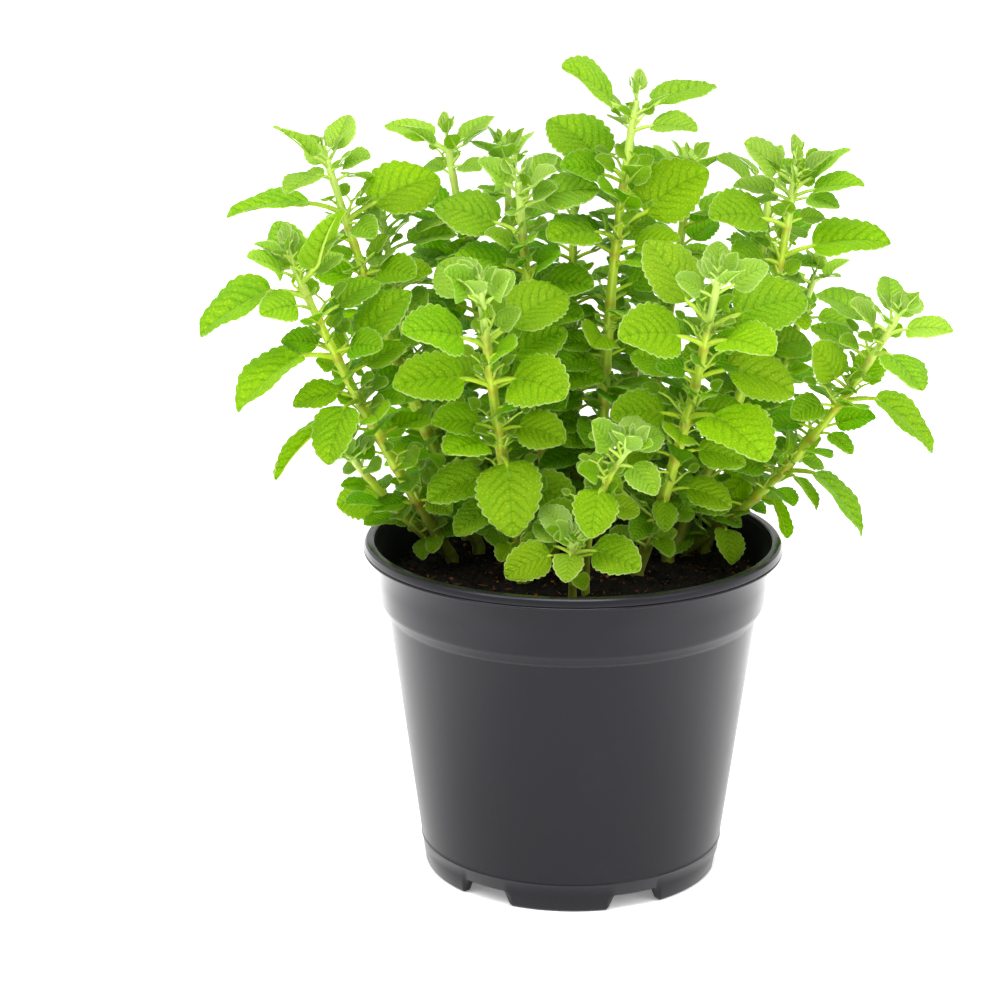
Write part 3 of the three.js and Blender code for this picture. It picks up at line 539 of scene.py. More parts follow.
class Leaf:
    """How a leaf grows: its stalk's root and the blade's rib, side and face along its length."""

    def __init__(self, stem, place, azimuth, length, rise, front=FACE_FRONT, bend=(0, 0, 1),
                 root=None, slim=1.0, cup=0.0):
        self.slim, self.cup = slim, cup
        self.place = place
        self.azimuth = azimuth
        self.length = length * bend[2]
        heading = math.radians(azimuth + bend[0])
        self.rise = math.radians(rise + bend[1])
        self.out = np.array([math.cos(heading), math.sin(heading), 0.0])
        self.root = stem_point(stem, place) if root is None else np.asarray(root, float)
        stalk_rise = math.radians(STALK_RISE) + self.rise * STALK_FOLLOWS_BLADE
        self.stalk = STALK_SHARE * self.length + STALK_EXTRA
        self.base = (self.root + self.out * math.cos(stalk_rise) * self.stalk
                     + UP * math.sin(stalk_rise) * self.stalk)
        self.stalk_half = STALK_HALF_SHARE * self.length + STALK_HALF_EXTRA
        self.arch = math.radians(LEAF_ARCH)
        self.start = self.rise + ARCH_CENTRE * self.arch
        outward = unit(np.array([self.base[0], self.base[1], 0.0]))
        self.facing = UP + FACE_OUTWARD * outward
        self.facing[1] -= front

    def at(self, share):
        """The rib's point at shares of the blade's length, and the ways along, aside and outward."""
        share = np.asarray(share, float)
        angle = self.start - self.arch * share
        run = (math.sin(self.start) - np.sin(angle)) / self.arch * self.length
        climb = (np.cos(angle) - math.cos(self.start)) / self.arch * self.length
        point = self.base + self.out * run[..., None] + UP * climb[..., None]
        along = self.out * np.cos(angle)[..., None] + UP * np.sin(angle)[..., None]
        face = unit(self.facing - along * (along @ self.facing)[..., None])
        return point, along, np.cross(along, face), face


def half_width(share, leaf):
    """Half the blade's width at shares of its length; a young leaf is slimmer, with a sharper tip."""
    end_power = YOUNG_END_POWER if leaf.slim < 1 else OUTLINE_END_POWER
    widest = OUTLINE_START_POWER / (OUTLINE_START_POWER + end_power)
    peak = widest**OUTLINE_START_POWER * (1 - widest) ** end_power
    outline = share**OUTLINE_START_POWER * (1 - share) ** end_power
    return leaf.slim * leaf.length / LENGTH_PER_WIDTH / 2 * outline / peak


def ruled_leaves(stem, number):
    """The leaves that follow the rule, as the part has them: crosswise pairs and a crown."""
    leaves = []
    last = PAIR_LAST_UNDER if stem.leaves else PAIR_LAST_BARE
    for pair in range(stem.pairs):
        place = PAIR_FIRST + (last - PAIR_FIRST) * (pair + 0.5) / stem.pairs
        middle = math.sin(math.pi * min(place * LONGEST_PLACE, 1))
        length = blended(PAIR_SHORTEST, PAIR_LONGEST, middle)
        rise = blended(PAIR_LOW_RISE, PAIR_HIGH_RISE, place)
        for half in range(2):
            key = pair * 2 + half
            azimuth = (number * STEM_TURN + PAIR_TURN * pair + 180 * half
                       + PAIR_SCATTER * (2 * scatter(number, key) - 1))
            share = 1 + LENGTH_SCATTER * (scatter(key, number) - 0.5)
            leaves.append((place, azimuth, length * share, rise))
    if not stem.leaves:
        for half in range(2):
            leaves.append((CROWN_PLACE, number * CROWN_TURN + 180 * half, CROWN_LENGTH, CROWN_RISE))
    return leaves


def grown_leaves(stem, number, corners):
    """The stem's leaves with the bend that each took in the part, found by its tip's corner."""
    grown = []
    for given in (*stem.leaves, *ruled_leaves(stem, number)):
        for bend in BENDS:
            leaf = Leaf(stem, *given, bend=bend)
            tip = leaf.at(1.0)[0]
            if np.abs(corners - tip).sum(axis=1).min() < SAME_POINT:
                grown.append(leaf)
                break
    return grown


def blade_outline(leaf, youth):
    """Shares along the blade, shares across it, its teeth and its half width with them."""
    teeth, rows_per_tooth, half = next(kind[1:] for kind in FINENESS if leaf.length >= kind[0])
    even = np.linspace(0, 1, teeth * rows_per_tooth + 1)
    share = EVEN_SPACING * even + (1 - EVEN_SPACING) * (1 - np.cos(np.pi * even)) / 2
    steps = 1 - (1 - np.linspace(0, 1, half + 1)) ** 1.25
    across = np.concatenate([-steps[:0:-1], steps])[None, :]
    phase = (even * teeth) % 1
    tooth = np.sin(np.pi * phase**0.8) - TOOTH_ROOT
    tooth *= (smooth_step(0.02, 0.18, even) * (1 - smooth_step(0.97, 1.0, even))
              * (1 - YOUNG_TEETH * max(youth, 0)))
    wide = half_width(share, leaf) * (1 + TOOTH_DEPTH * tooth)
    wide[0] = leaf.stalk_half
    wide[-1] = BLADE_TIP_SHARE * leaf.stalk_half
    return share, across, tooth, wide


def blade_lift(leaf, share, across, span, chance):
    """How far the blade stands off its flat: folded, bulged, quilted, and waved at the margin."""
    length = leaf.length
    rise = FOLD_RISE + leaf.cup + CUP_SCATTER * (chance.random() - 0.5)
    fold = rise * (np.sqrt(span**2 + FOLD_ROUND**2) - FOLD_ROUND)
    bulge = BULGE_SHARE * length * np.abs(across) ** 0.8 * (1 - across**2)
    off_share = np.abs(span) / length
    vein = (share[:, None] - off_share * (VEIN_LEAN + VEIN_CURVE * off_share)) / VEIN_SPACING
    between = np.abs(np.sin(np.pi * vein)) ** 0.7
    inside = (1 - np.abs(across) ** 6) * (1 - np.exp(-(np.abs(span) / RIB_CLEAR) ** 1.5))
    middle = (smooth_step(0.0, 0.12, share) * (1 - smooth_step(0.88, 1.0, share)))[:, None]
    quilt = QUILT_SHARE * length * between * inside * middle
    ripple = 2 * np.pi * (MARGIN_WAVES * share[:, None] + chance.random()) + np.pi * (across > 0)
    wave = MARGIN_WAVE * length * np.sin(ripple)
    curl = blended(*MARGIN_CURLS, chance.random()) * length
    return fold + quilt + (bulge + np.abs(across) ** 3 * (wave + curl)) * middle


def add_blade(into, leaf, youth, seed):
    """A blade with rounded teeth, quilted between its veins, folded and waved a little."""
    chance = np.random.default_rng(seed)
    share, across, tooth, wide = blade_outline(leaf, youth)
    point, along, side, face = leaf.at(share)
    span = wide[:, None] * across
    lift = blade_lift(leaf, share, across, span, chance)
    points = point[:, None] + side[:, None] * span[..., None] + face[:, None] * lift[..., None]
    lean = TOOTH_LEAN * TOOTH_DEPTH * np.clip(tooth, 0, 1) * wide
    points += along[:, None] * (lean[:, None] * np.abs(across) ** 4)[..., None]
    down, flat = np.broadcast_arrays(share[:, None], across)
    edge = (1 - np.abs(flat)) * wide[:, None] * 0.85
    edge[share > 0.5] = np.minimum(edge, (1 - down) * leaf.length)[share > 0.5]
    place = np.stack([down, flat, np.full(span.shape, leaf.length)], -1)
    spans = np.stack([down * leaf.length, span, np.full(span.shape, 17.0 * chance.random())], -1)
    look = np.stack([np.full(span.shape, chance.random()), np.full(span.shape, youth), edge], -1)
    into.add(points, grid_faces(*span.shape), LEAF,
             place.reshape(-1, 3), spans.reshape(-1, 3), look.reshape(-1, 3))
    return [(points[:, column], side * sign, along, face) for column, sign in ((0, -1), (-1, 1))]


def add_stalk(into, leaf, youth):
    """The leaf's stalk, which runs on under the blade as its rib and thins out at the tip."""
    rows, rib_rows, sides = STALK_FINE if leaf.length >= STALK_FINE_FROM else STALK_PLAIN
    steps = np.linspace(0, 1, rows)[:, None]
    over = (leaf.root + leaf.base) / 2 + UP * STALK_ARCH * leaf.stalk
    stalk = leaf.root * (1 - steps) ** 2 + over * 2 * steps * (1 - steps) + leaf.base * steps**2
    rib_share = np.linspace(*RIB_STRETCH, rib_rows)
    point, _, _, face = leaf.at(rib_share)
    rib = RIB_THICKNESS * (1 - rib_share) ** 0.7
    radius = leaf.stalk_half * np.concatenate([blended(*STALK_SWELLS, steps[:, 0]), rib])
    under = point - face * (leaf.stalk_half * (rib + RIB_UNDER))[:, None]
    spine = np.concatenate([stalk, under])
    share = np.linspace(0, 1, len(spine))
    place = np.stack([share, 0 * share, np.full_like(share, leaf.length)], -1)
    look = np.tile([STALK_COLOUR_PLACE, youth, 0.0], (len(spine), 1))
    add_tube(into, spine, radius, sides, STEM, place=place, span=spine, look=look)


def add_hairs(into, roots, ways, lengths, width):
    """Fine hairs, each one thin upright triangle."""
    across = unit(np.cross(ways, np.array([0.31, 0.53, 0.79])))
    tips = roots + ways * lengths[:, None]
    points = np.stack([roots - across * width / 2, roots + across * width / 2, tips], 1)
    faces = np.arange(len(roots) * 3).reshape(-1, 3).tolist()
    ends = np.tile([[0, 0, 0], [0, 0, 0], [1, 0, 0]], (len(roots), 1))
    into.add(points, faces, HAIR, place=ends)


def add_margin_hairs(into, margins, count, chance):
    """Hairs that stand out from both margins of a blade."""
    for edge, outward, along, face in margins:
        spot = chance.random(count) * (len(edge) - 1.001)
        row = spot.astype(int)
        part = (spot - row)[:, None]
        roots = edge[row] * (1 - part) + edge[row + 1] * part
        ways = unit(outward[row] + 0.45 * along[row] + 0.3 * face[row]
                    + 0.5 * chance.standard_normal((count, 3)))
        lengths = blended(*LEAF_HAIR_LENGTHS, chance.random(count))
        add_hairs(into, roots, ways, lengths, LEAF_HAIR_WIDTH)


def add_leaf(into, leaf, youth, seed, hairs_per_mm=LEAF_HAIRS_PER_MM):
    """A whole leaf: blade, stalk and hairs."""
    margins = add_blade(into, leaf, youth, seed)
    add_stalk(into, leaf, youth)
    add_margin_hairs(into, margins, int(hairs_per_mm * leaf.length), np.random.default_rng(seed + 1))


class Crowd:
    """The points that leaves already take up, so that later leaves grow where there is room."""

    def __init__(self):
        self.points = np.empty((0, 3))

    def take(self, leaf):
        """Count the leaf's points as taken."""
        self.points = np.concatenate([self.points, leaf.at(CROWD_SHARES)[0]])

    def has_room(self, leaf, clearance):
        """True where the leaf keeps clear of all others, of the soil and of the pot's wall."""
        spots = leaf.at(CROWD_SHARES)[0]
        gaps = np.linalg.norm(self.points[:, None] - spots[None], axis=-1)
        low = spots[:, 2] < BASE_HEIGHT + OVER_SOIL
        at_wall = ((spots[:, 2] < POT_HEIGHT + OVER_SOIL)
                   & (np.hypot(spots[:, 0], spots[:, 1]) > SOIL_EDGE_RADIUS - OVER_SOIL))
        return gaps.min() > clearance and not (low | at_wall).any()


def grow_shoot(stem, place, azimuth, rise, reach, sizes, key):
    """A short side shoot: its centre line, and pairs of small leaves set crosswise along it."""
    heading, climb = math.radians(azimuth), math.radians(rise)
    way = np.array([math.cos(heading) * math.cos(climb), math.sin(heading) * math.cos(climb),
                    math.sin(climb)])
    root = stem_point(stem, place)

    def spot(share):
        return root + reach * (way * share + UP * SHOOT_LIFT * share**2)

    leaves = []
    for pair, size in enumerate(sizes):
        share = (pair + 1) / len(sizes)
        for half in range(2):
            chance = scatter(key + pair, 2 * half + 1)
            turn = azimuth + 90 * (pair + 1) + 180 * half + SHOOT_LEAF_TURN * (chance - 0.5)
            length = size * blended(*SHOOT_LEAF_SCATTER, scatter(key, pair + half))
            climbing = blended(*SHOOT_LEAF_RISES, share * chance + 0.2)
            leaves.append(Leaf(stem, place, turn, length, climbing, root=spot(share)))
    return spot(np.linspace(0, 1, 5)[:, None]), leaves


def mates(stem, leaves):
    """Leaves across the stem from single upper leaves, where that side is turned from the front."""
    made = []
    for leaf in leaves:
        turn = math.radians(leaf.azimuth + 180)
        paired = any(abs(other.place - leaf.place) < MATE_REACH
                     and math.cos(math.radians(other.azimuth) - turn) > 0.5 for other in leaves)
        if (leaf.place > MATE_FIRST_PLACE and leaf.length > MATE_BEARER and math.sin(turn) > 0
                and not paired):
            length = min(MATE_SHARE * leaf.length, MATE_LONGEST)
            made.append(Leaf(stem, leaf.place - 0.01, leaf.azimuth + 180, length,
                             math.degrees(leaf.rise)))
    return made


def side_shoots(stem, leaves, number):
    """Shoots that sprout over the larger leaves' stalks, and a few from the foot of the stem."""
    shoots = []
    for index, leaf in enumerate(leaves):
        if leaf.length < SHOOT_BEARER or leaf.place > SHOOT_LAST_PLACE:
            continue
        reach = (blended(*SHOOT_REACHES, scatter(index, number + 3))
                 * blended(*SHOOT_SHORTENING, leaf.place))
        size = blended(*SHOOT_LEAVES, scatter(number + 9, index))
        turn = leaf.azimuth + SHOOT_SWING * (scatter(index, number + 5) - 0.5)
        rise = blended(*SHOOT_RISES, scatter(index, number))
        sizes = (size, SHOOT_SECOND_SHARE * size) if reach > SHOOT_LONG else (size,)
        shoots.append(grow_shoot(stem, leaf.place + 0.01, turn, rise, reach, sizes, index + number))
    for low in range(0 if is_sprig(stem) else LOW_SHOOTS):
        key = low + number
        chance = scatter(low, number + 11)
        rise = blended(*LOW_SHOOT_RISES, scatter(number, low))
        shoots.append(grow_shoot(stem, blended(*LOW_SHOOT_PLACES, chance), GOLDEN_TURN * key, rise,
                                 blended(*LOW_SHOOT_REACHES, chance), LOW_SHOOT_LEAVES, key))
    return shoots


def inner_leaves(stem, number, spacing, sizes, turn):
    """Pairs between the pairs that the part has, crosswise up the stem."""
    leaves = []
    for step, place in enumerate(np.arange(*INNER_PLACES, spacing)):
        for half in range(2):
            key = 2 * step + half
            azimuth = (number * STEM_TURN + turn + PAIR_TURN * step + 180 * half
                       + 3 * PAIR_SCATTER * (scatter(number + 2, key) - 0.5))
            length = blended(*sizes, scatter(key, number + 7))
            rise = (blended(PAIR_LOW_RISE, PAIR_HIGH_RISE, place)
                    + INNER_RISE_SCATTER * (scatter(key, 3) - 0.5))
            leaves.append(Leaf(stem, float(place), azimuth, length, rise))
    return leaves


def crown_leaves(stem, number):
    """The youngest leaves, folded and close to upright round the growing tip."""
    crown = []
    first = number * 61.0
    for ring, (place, length, rise, slim) in enumerate(CROWN_RINGS):
        for half in range(2):
            turn = (first + 90 * ring + 180 * half
                    + CROWN_TURN_SCATTER * (scatter(number, ring + half) - 0.5))
            grown = length * blended(*CROWN_SCATTER, scatter(ring + 2 * half, number))
            crown.append(Leaf(stem, place, turn, grown, rise, CROWN_FRONT, slim=slim, cup=CROWN_CUP))
    tip = stem_point(stem, 1.0) + UP * BUD_HEIGHT
    for bud in range(BUD_LEAVES):
        crown.append(Leaf(stem, 1.0, first + 45 + 360 / BUD_LEAVES * bud, BUD_LENGTH, BUD_RISE, 0.0,
                          root=tip, slim=BUD_SLIMNESS, cup=CROWN_CUP))
    return crown


def add_stem(into, stem, nodes, chance):
    """The stem itself, square and a little thicker at each pair of leaves, with its hairs."""
    reach = np.linalg.norm(np.diff(stem_point(stem, np.linspace(0, 1, 50)), axis=0), axis=1).sum()
    share = np.linspace(0, 1, max(16, int(reach / STEM_ROW_SPACING)))
    foot = np.array([[*stem.base, height] for height in STEM_FOOT_ROWS], float)
    near = np.exp(-((share[:, None] - nodes[None]) * reach / NODE_REACH) ** 2).max(axis=1)
    stout = SPRIG_STOUTNESS if is_sprig(stem) else 1.0
    radii = (stem_radius(share) * (1 + NODE_SWELLING * near)
             * blended(1.0, STEM_TOP_SLIMNESS, share**2))
    spine = np.concatenate([foot, stem_point(stem, share)])
    radii = stout * np.concatenate([[STEM_FOOT_RADIUS] * len(foot), radii])
    along, knots = (np.concatenate([[0] * len(foot), values]) for values in (share, near))
    place = np.stack([along, knots, np.full_like(along, reach)], -1)
    look = np.stack([along, smooth_step(0.75, 1.0, along), np.zeros_like(along)], -1)
    points, ways = add_tube(into, spine, radii, STEM_SIDES, STEM, squareness=STEM_SQUARENESS,
                            place=place, span=spine, look=look)
    count = int(STEM_HAIRS_PER_MM * reach)
    row = chance.integers(len(foot), len(spine) - 1, count)
    column = chance.integers(0, STEM_SIDES, count)
    part = chance.random((count, 1))
    roots = points[row, column] * part + points[row - 1, column] * (1 - part)
    outward = unit(ways[row, column] + 0.35 * chance.standard_normal((count, 3)) + 0.15 * UP)
    lengths = blended(*STEM_HAIR_LENGTHS, chance.random(count))
    add_hairs(into, roots, outward, lengths, STEM_HAIR_WIDTH)


def make_stem(stem, number, leaves, crowd, materials):
    """One leafy stem as one piece: the stem, its leaves, its crown, and what has room between."""
    into = Gathering()
    add_stem(into, stem, stem_nodes(stem, leaves), np.random.default_rng(SEED * 1000 + number))
    for index, leaf in enumerate(leaves):
        youth = float(smooth_step(0.6, 1.0, leaf.place)) * (1 - min(leaf.length, 26) / 40)
        add_leaf(into, leaf, youth, SEED + number * 997 + index * 13)
    for index, leaf in enumerate(crown_leaves(stem, number)):
        add_leaf(into, leaf, CROWN_YOUTH, SEED + number * 991 + 500 + index * 7, YOUNG_HAIRS_PER_MM)
    inner = [] if is_sprig(stem) else inner_leaves(stem, number, INNER_STEP, INNER_SIZES, INNER_TURN)
    if stem.name in DEEP_STEMS:
        inner = inner_leaves(stem, number, DEEP_STEP, DEEP_SIZES, DEEP_TURN) + inner
    for index, leaf in enumerate(inner):
        if crowd.has_room(leaf, INNER_CLEARANCE):
            crowd.take(leaf)
            add_leaf(into, leaf, INNER_YOUTH_AND_SHADE, SEED + number * 983 + 700 + index * 5)
    for index, (spine, small) in enumerate(side_shoots(stem, leaves, number)):
        add_shoot(into, spine, [leaf for leaf in small if crowd.has_room(leaf, SHOOT_CLEARANCE)],
                  crowd, SEED + number * 977 + 900 + index * 11)
    name = stem.name.replace("stem_", "leafy_").replace("sprig_", "leafy_sprig_")
    made = into.make(name, materials)
    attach(made, "root")
    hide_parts(stem.name)


def add_shoot(into, spine, leaves, crowd, seed):
    """A side shoot with those of its leaves that have room, or nothing where none has."""
    if not leaves:
        return
    radii = blended(*SHOOT_RADII, np.linspace(0, 1, len(spine)))
    young = np.tile([STALK_COLOUR_PLACE, SHOOT_YOUTH, 0.0], (len(spine), 1))
    add_tube(into, spine, radii, SHOOT_SIDES, STEM, place=0 * spine, span=spine, look=young)
    for index, leaf in enumerate(leaves):
        crowd.take(leaf)
        add_leaf(into, leaf, SHOOT_YOUTH, seed + index, YOUNG_HAIRS_PER_MM)


def make_bush(materials):
    """All the stems: first the leaves that the part has, then what grows between them."""
    crowd = Crowd()
    grown = []
    for number, stem in enumerate(STEMS):
        corners = [vertex.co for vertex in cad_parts[stem.name].data.vertices]
        grown.append(grown_leaves(stem, number, np.array(corners) / MM))
        for leaf in grown[-1]:
            crowd.take(leaf)
    found = sum(map(len, grown))
    for stem, leaves in zip(STEMS, grown, strict=True):
        for mate in mates(stem, leaves):
            if crowd.has_room(mate, MATE_CLEARANCE):
                leaves.append(mate)
                crowd.take(mate)
    given = 0
    for number, stem in enumerate(STEMS):
        given += len(stem.leaves) + len(ruled_leaves(stem, number))
        make_stem(stem, number, grown[number], crowd, materials)
    print(f"{found} of {given} leaves stand in the part, with {sum(map(len, grown)) - found} mates")


# Materials.


def shader(name):
    """A new material, its node tree, its surface node and its output node."""
    material = bpy.data.materials.new(name)
    material.use_nodes = True
    tree = material.node_tree
    return material, tree, tree.nodes["Principled BSDF"], tree.nodes["Material Output"]


def feed(tree, made, inputs):
    """Give a node its inputs, as values or as other nodes' outputs."""
    for key, value in inputs.items():
        if isinstance(value, bpy.types.NodeSocket):
            tree.links.new(value, made.inputs[key])
        else:
            made.inputs[key].default_value = value


def node(tree, kind, inputs, **settings):
    """A new shader node with its settings and its inputs."""
    made = tree.nodes.new("ShaderNode" + kind)
    for name, value in settings.items():
        setattr(made, name, value)
    feed(tree, made, inputs)
    return made


def maths(tree, operation, first, second=0.0, third=0.0):
    return node(tree, "Math", {0: first, 1: second, 2: third}, operation=operation).outputs[0]


def times(tree, first, second):
    return maths(tree, "MULTIPLY", first, second)


def mapped(tree, value, low, high, to_low=0.0, to_high=1.0):
    """The value's step from low to high, eased at both ends, as to_low to to_high."""
    inputs = {"Value": value, "From Min": low, "From Max": high, "To Min": to_low, "To Max": to_high}
    return node(tree, "MapRange", inputs, interpolation_type="SMOOTHSTEP").outputs["Result"]


def mixed(tree, share, first, second, blend="MIX"):
    inputs = {0: share, 6: first, 7: second}
    return node(tree, "Mix", inputs, data_type="RGBA", blend_type=blend).outputs[2]


def layered(tree, below, layers):
    """A colour under layers, each of which is its share and its own colour."""
    for share, over in layers:
        below = mixed(tree, share, below, over)
    return below


def noise(tree, place, scale, detail, roughness=0.5):
    """A cloudy pattern from 0 to 1."""
    inputs = {"Vector": place, "Scale": scale, "Detail": detail, "Roughness": roughness}
    return node(tree, "TexNoise", inputs).outputs["Fac"]


def stretched(tree, place, scales):
    """The place, scaled along its three directions."""
    return node(tree, "Mapping", {"Vector": place, "Scale": scales}).outputs[0]


def bumped(tree, height, strength, distance):
    """The surface's directions with small bumps of a height, for a Normal input."""
    inputs = {"Height": height, "Strength": strength, "Distance": distance}
    return node(tree, "Bump", inputs).outputs[0]


def note(tree, name):
    """The three numbers of a note that the points carry."""
    read = node(tree, "Attribute", {}, attribute_name=name)
    parts = node(tree, "SeparateXYZ", {0: read.outputs["Vector"]})
    return read.outputs["Vector"], *parts.outputs


def lit_through(tree, surface, output, share, inputs):
    """Let light through the surface by a share, as a leaf held up to the light does."""
    lit = node(tree, "BsdfTranslucent", inputs)
    both = node(tree, "MixShader", {0: share, 1: surface.outputs[0], 2: lit.outputs[0]})
    feed(tree, output, {"Surface": both.outputs[0]})


def colour(red, green, blue):
    """A colour given as it looks on a screen, from 0 to 255."""
    steps = [value / 255 for value in (red, green, blue)]
    return (*(x / 12.92 if x < 0.04045 else ((x + 0.055) / 1.055) ** 2.4 for x in steps), 1.0)


def leaf_veins(tree, share, across, off_share, wander):
    """The side veins and the pads between them, both from 0 to 1."""
    lean = times(tree, off_share, maths(tree, "MULTIPLY_ADD", off_share, VEIN_CURVE, VEIN_LEAN))
    order = maths(tree, "DIVIDE", maths(tree, "SUBTRACT", share, lean), VEIN_SPACING)
    order = maths(tree, "MULTIPLY_ADD", wander, 0.85, order)
    apart = maths(tree, "ABSOLUTE", maths(tree, "SUBTRACT", maths(tree, "FRACT", order), 0.5))
    inner = mapped(tree, maths(tree, "ABSOLUTE", across), 1.0, 0.25)
    return (times(tree, inner, mapped(tree, apart, 0.36, 0.5)),
            times(tree, inner, mapped(tree, apart, 0.36, 0.1)))


def leaf_material():
    """Green blades with painted shade in the sunk veins, a pale rib and margin, and light shining
    through.
    """
    material, tree, surface, output = shader("oregano_leaf")
    _, share, across, length = note(tree, "place")
    span, _, sideways, _ = note(tree, "span")
    _, tone, youth, edge = note(tree, "look")
    off_share = maths(tree, "DIVIDE", maths(tree, "ABSOLUTE", sideways), length)
    vein, pad = leaf_veins(tree, share, across, off_share, noise(tree, span, 0.35, 2.0))
    rib = mapped(tree, off_share, 0.022, 0.006)
    scale = maths(tree, "DIVIDE", 26.0, maths(tree, "ADD", length, 6.0))
    cells = node(tree, "TexVoronoi", {"Vector": span, "Scale": scale, "Randomness": 0.9},
                 voronoi_dimensions="3D", feature="DISTANCE_TO_EDGE").outputs["Distance"]
    net = mapped(tree, cells, 0.22, 0.0)
    crest = mapped(tree, cells, 0.08, 0.4)
    fine = noise(tree, span, 1.9, 4.0, 0.65)
    grown = mixed(tree, tone, colour(104, 157, 0), colour(138, 176, 0))
    young = mixed(tree, tone, colour(146, 183, 80), colour(176, 199, 116))
    green = layered(tree, grown, (
        # Youth below nought: a deeper, darker green, partly older leaves' colour and partly painted
        # shade inside the bush.
        (mapped(tree, youth, -0.1, -1.0, 0.0, 0.5), colour(52, 146, 0)),
        (mapped(tree, youth, 0.15, 1.0), young),
        (mapped(tree, noise(tree, span, 0.12, 2.0), 0.35, 0.7, 0.0, 0.35), colour(152, 185, 0)),
        # Painted highlight on the raised pads and crests between the veins, partly also the pale bloom
        # of their hairs.
        (times(tree, pad, 0.3), colour(162, 193, 26)),
        (times(tree, crest, 0.3), colour(170, 197, 26)),
        (mapped(tree, fine, 0.45, 0.75, 0.0, 0.25), colour(174, 198, 36)),
        # Painted shade: the sunk net, side veins and rib are a darker green, where their grooves would
        # lie in shade.
        (times(tree, net, 0.22), colour(66, 132, 0)),
        (times(tree, vein, 0.42), colour(64, 132, 0)),
        (times(tree, rib, 0.22), colour(74, 138, 0)),
        (times(tree, times(tree, rib, mapped(tree, share, 0.3, 0.0)), 0.7), colour(176, 212, 84)),
        (times(tree, mapped(tree, edge, 0.5, 0.1), mapped(tree, youth, -0.5, 0.8, 0.35, 0.6)),
         colour(210, 219, 156)),
    ))
    height = times(tree, vein, -0.85)
    for part, tall in ((pad, 0.3), (net, -0.4), (crest, 0.3), (rib, -0.5), (fine, 0.4)):
        height = maths(tree, "MULTIPLY_ADD", part, tall, height)
    bump = bumped(tree, height, 0.6, 0.0004)
    feed(tree, surface, {"Base Color": green, "Normal": bump, "Roughness": 0.5,
                         "Specular IOR Level": 0.35, "Specular Tint": (0.78, 1.0, 0.42, 1.0)})
    through = mixed(tree, 1.0, green, (0.72, 1.0, 0.1, 1.0), blend="MULTIPLY")
    lit_through(tree, surface, output, 0.48, {"Color": through, "Normal": bump})
    return material


def stem_material():
    """Green stems and stalks with pale corners, brown at the foot and reddish at the nodes."""
    material, tree, surface, _ = shader("oregano_stem")
    _, _, knot, _ = note(tree, "place")
    span, _, _, height = note(tree, "span")
    _, along, youth, ridge = note(tree, "look")
    streak = noise(tree, stretched(tree, span, (1.4, 1.4, 0.12)), 1.0, 3.0)
    foot = times(tree, mapped(tree, height, 150.0, 100.0), mapped(tree, along, 0.34, 0.2))
    brown = mixed(tree, streak, colour(62, 66, 12), colour(112, 116, 24))
    green = layered(tree, mixed(tree, streak, colour(134, 170, 10), colour(178, 200, 40)), (
        (mapped(tree, ridge, 0.3, 1.0, 0.0, 0.5), colour(204, 218, 104)),
        (times(tree, foot, 0.85), brown),
        (times(tree, knot, 0.55), colour(150, 112, 24)),
        (times(tree, youth, 0.7), colour(180, 208, 116)),
    ))
    rough = maths(tree, "ADD", streak, noise(tree, span, 1.7, 3.0))
    feed(tree, surface, {"Base Color": green, "Normal": bumped(tree, rough, 0.35, 0.0003),
                         "Roughness": 0.5, "Specular IOR Level": 0.3,
                         "Specular Tint": (1.0, 1.0, 0.5, 1.0), "Sheen Weight": 0.1,
                         "Sheen Tint": (1.0, 1.0, 0.6, 1.0)})
    return material


def hair_material():
    """Pale hairs, paler still at their ends."""
    material, tree, surface, output = shader("oregano_hair")
    _, end, _, _ = note(tree, "place")
    pale = mixed(tree, end, colour(190, 216, 110), colour(232, 240, 190))
    feed(tree, surface, {"Base Color": pale, "Roughness": 0.5})
    lit_through(tree, surface, output, 0.5, {"Color": pale})
    return material


def plastic_material():
    """Black plastic with a trace of flow and dust, dull and with painted shade inside the pot."""
    material, tree, surface, _ = shader("pot_plastic_charcoal")
    place = node(tree, "TexCoord", {}).outputs["Object"]
    flow = noise(tree, stretched(tree, place, (26.0, 26.0, 5.0)), 1.0, 4.0)
    dust = noise(tree, place, 60.0, 5.0, 0.7)
    _, inside, _, _ = note(tree, "look")
    black = mixed(tree, flow, (0.0054, 0.0052, 0.0066, 1), (0.0085, 0.0082, 0.0102, 1))
    black = layered(tree, black, (
        (mapped(tree, dust, 0.55, 0.8, 0.0, 0.15), (0.02, 0.02, 0.022, 1)),
        # Painted shade: the rows inside the pot are darkened nearly to black, as the shaded inner wall
        # looks.
        (times(tree, inside, 0.9), (0.0, 0.0, 0.0, 1)),
    ))
    rough = maths(tree, "MULTIPLY_ADD", inside, 0.6, mapped(tree, dust, 0.3, 0.7, 0.2, 0.25))
    bump = bumped(tree, noise(tree, place, 900.0, 3.0), 0.03, 0.0002)
    feed(tree, surface, {"Base Color": black, "Roughness": rough, "Normal": bump,
                         "Specular IOR Level": 0.21, "Specular Tint": (0.96, 0.94, 1.0, 1.0)})
    return material


def soil_material():
    """Dark peat, with warmer brown on some of its crumbs and on the fibres."""
    material, tree, surface, _ = shader("peat_soil")
    _, tone, warm, _ = note(tree, "look")
    place = node(tree, "TexCoord", {}).outputs["Object"]
    grain = noise(tree, place, 700.0, 6.0, 0.7)
    dark = mixed(tree, grain, colour(5, 3, 2), colour(22, 12, 6))
    red = mixed(tree, tone, colour(70, 32, 10), colour(150, 92, 40))
    brown = mixed(tree, mapped(tree, warm, 0.72, 1.0), dark, red)
    feed(tree, surface, {"Base Color": brown, "Normal": bumped(tree, grain, 0.7, 0.0006),
                         "Roughness": 0.92, "Specular IOR Level": 0.2})
    return material


# Pot and soil.


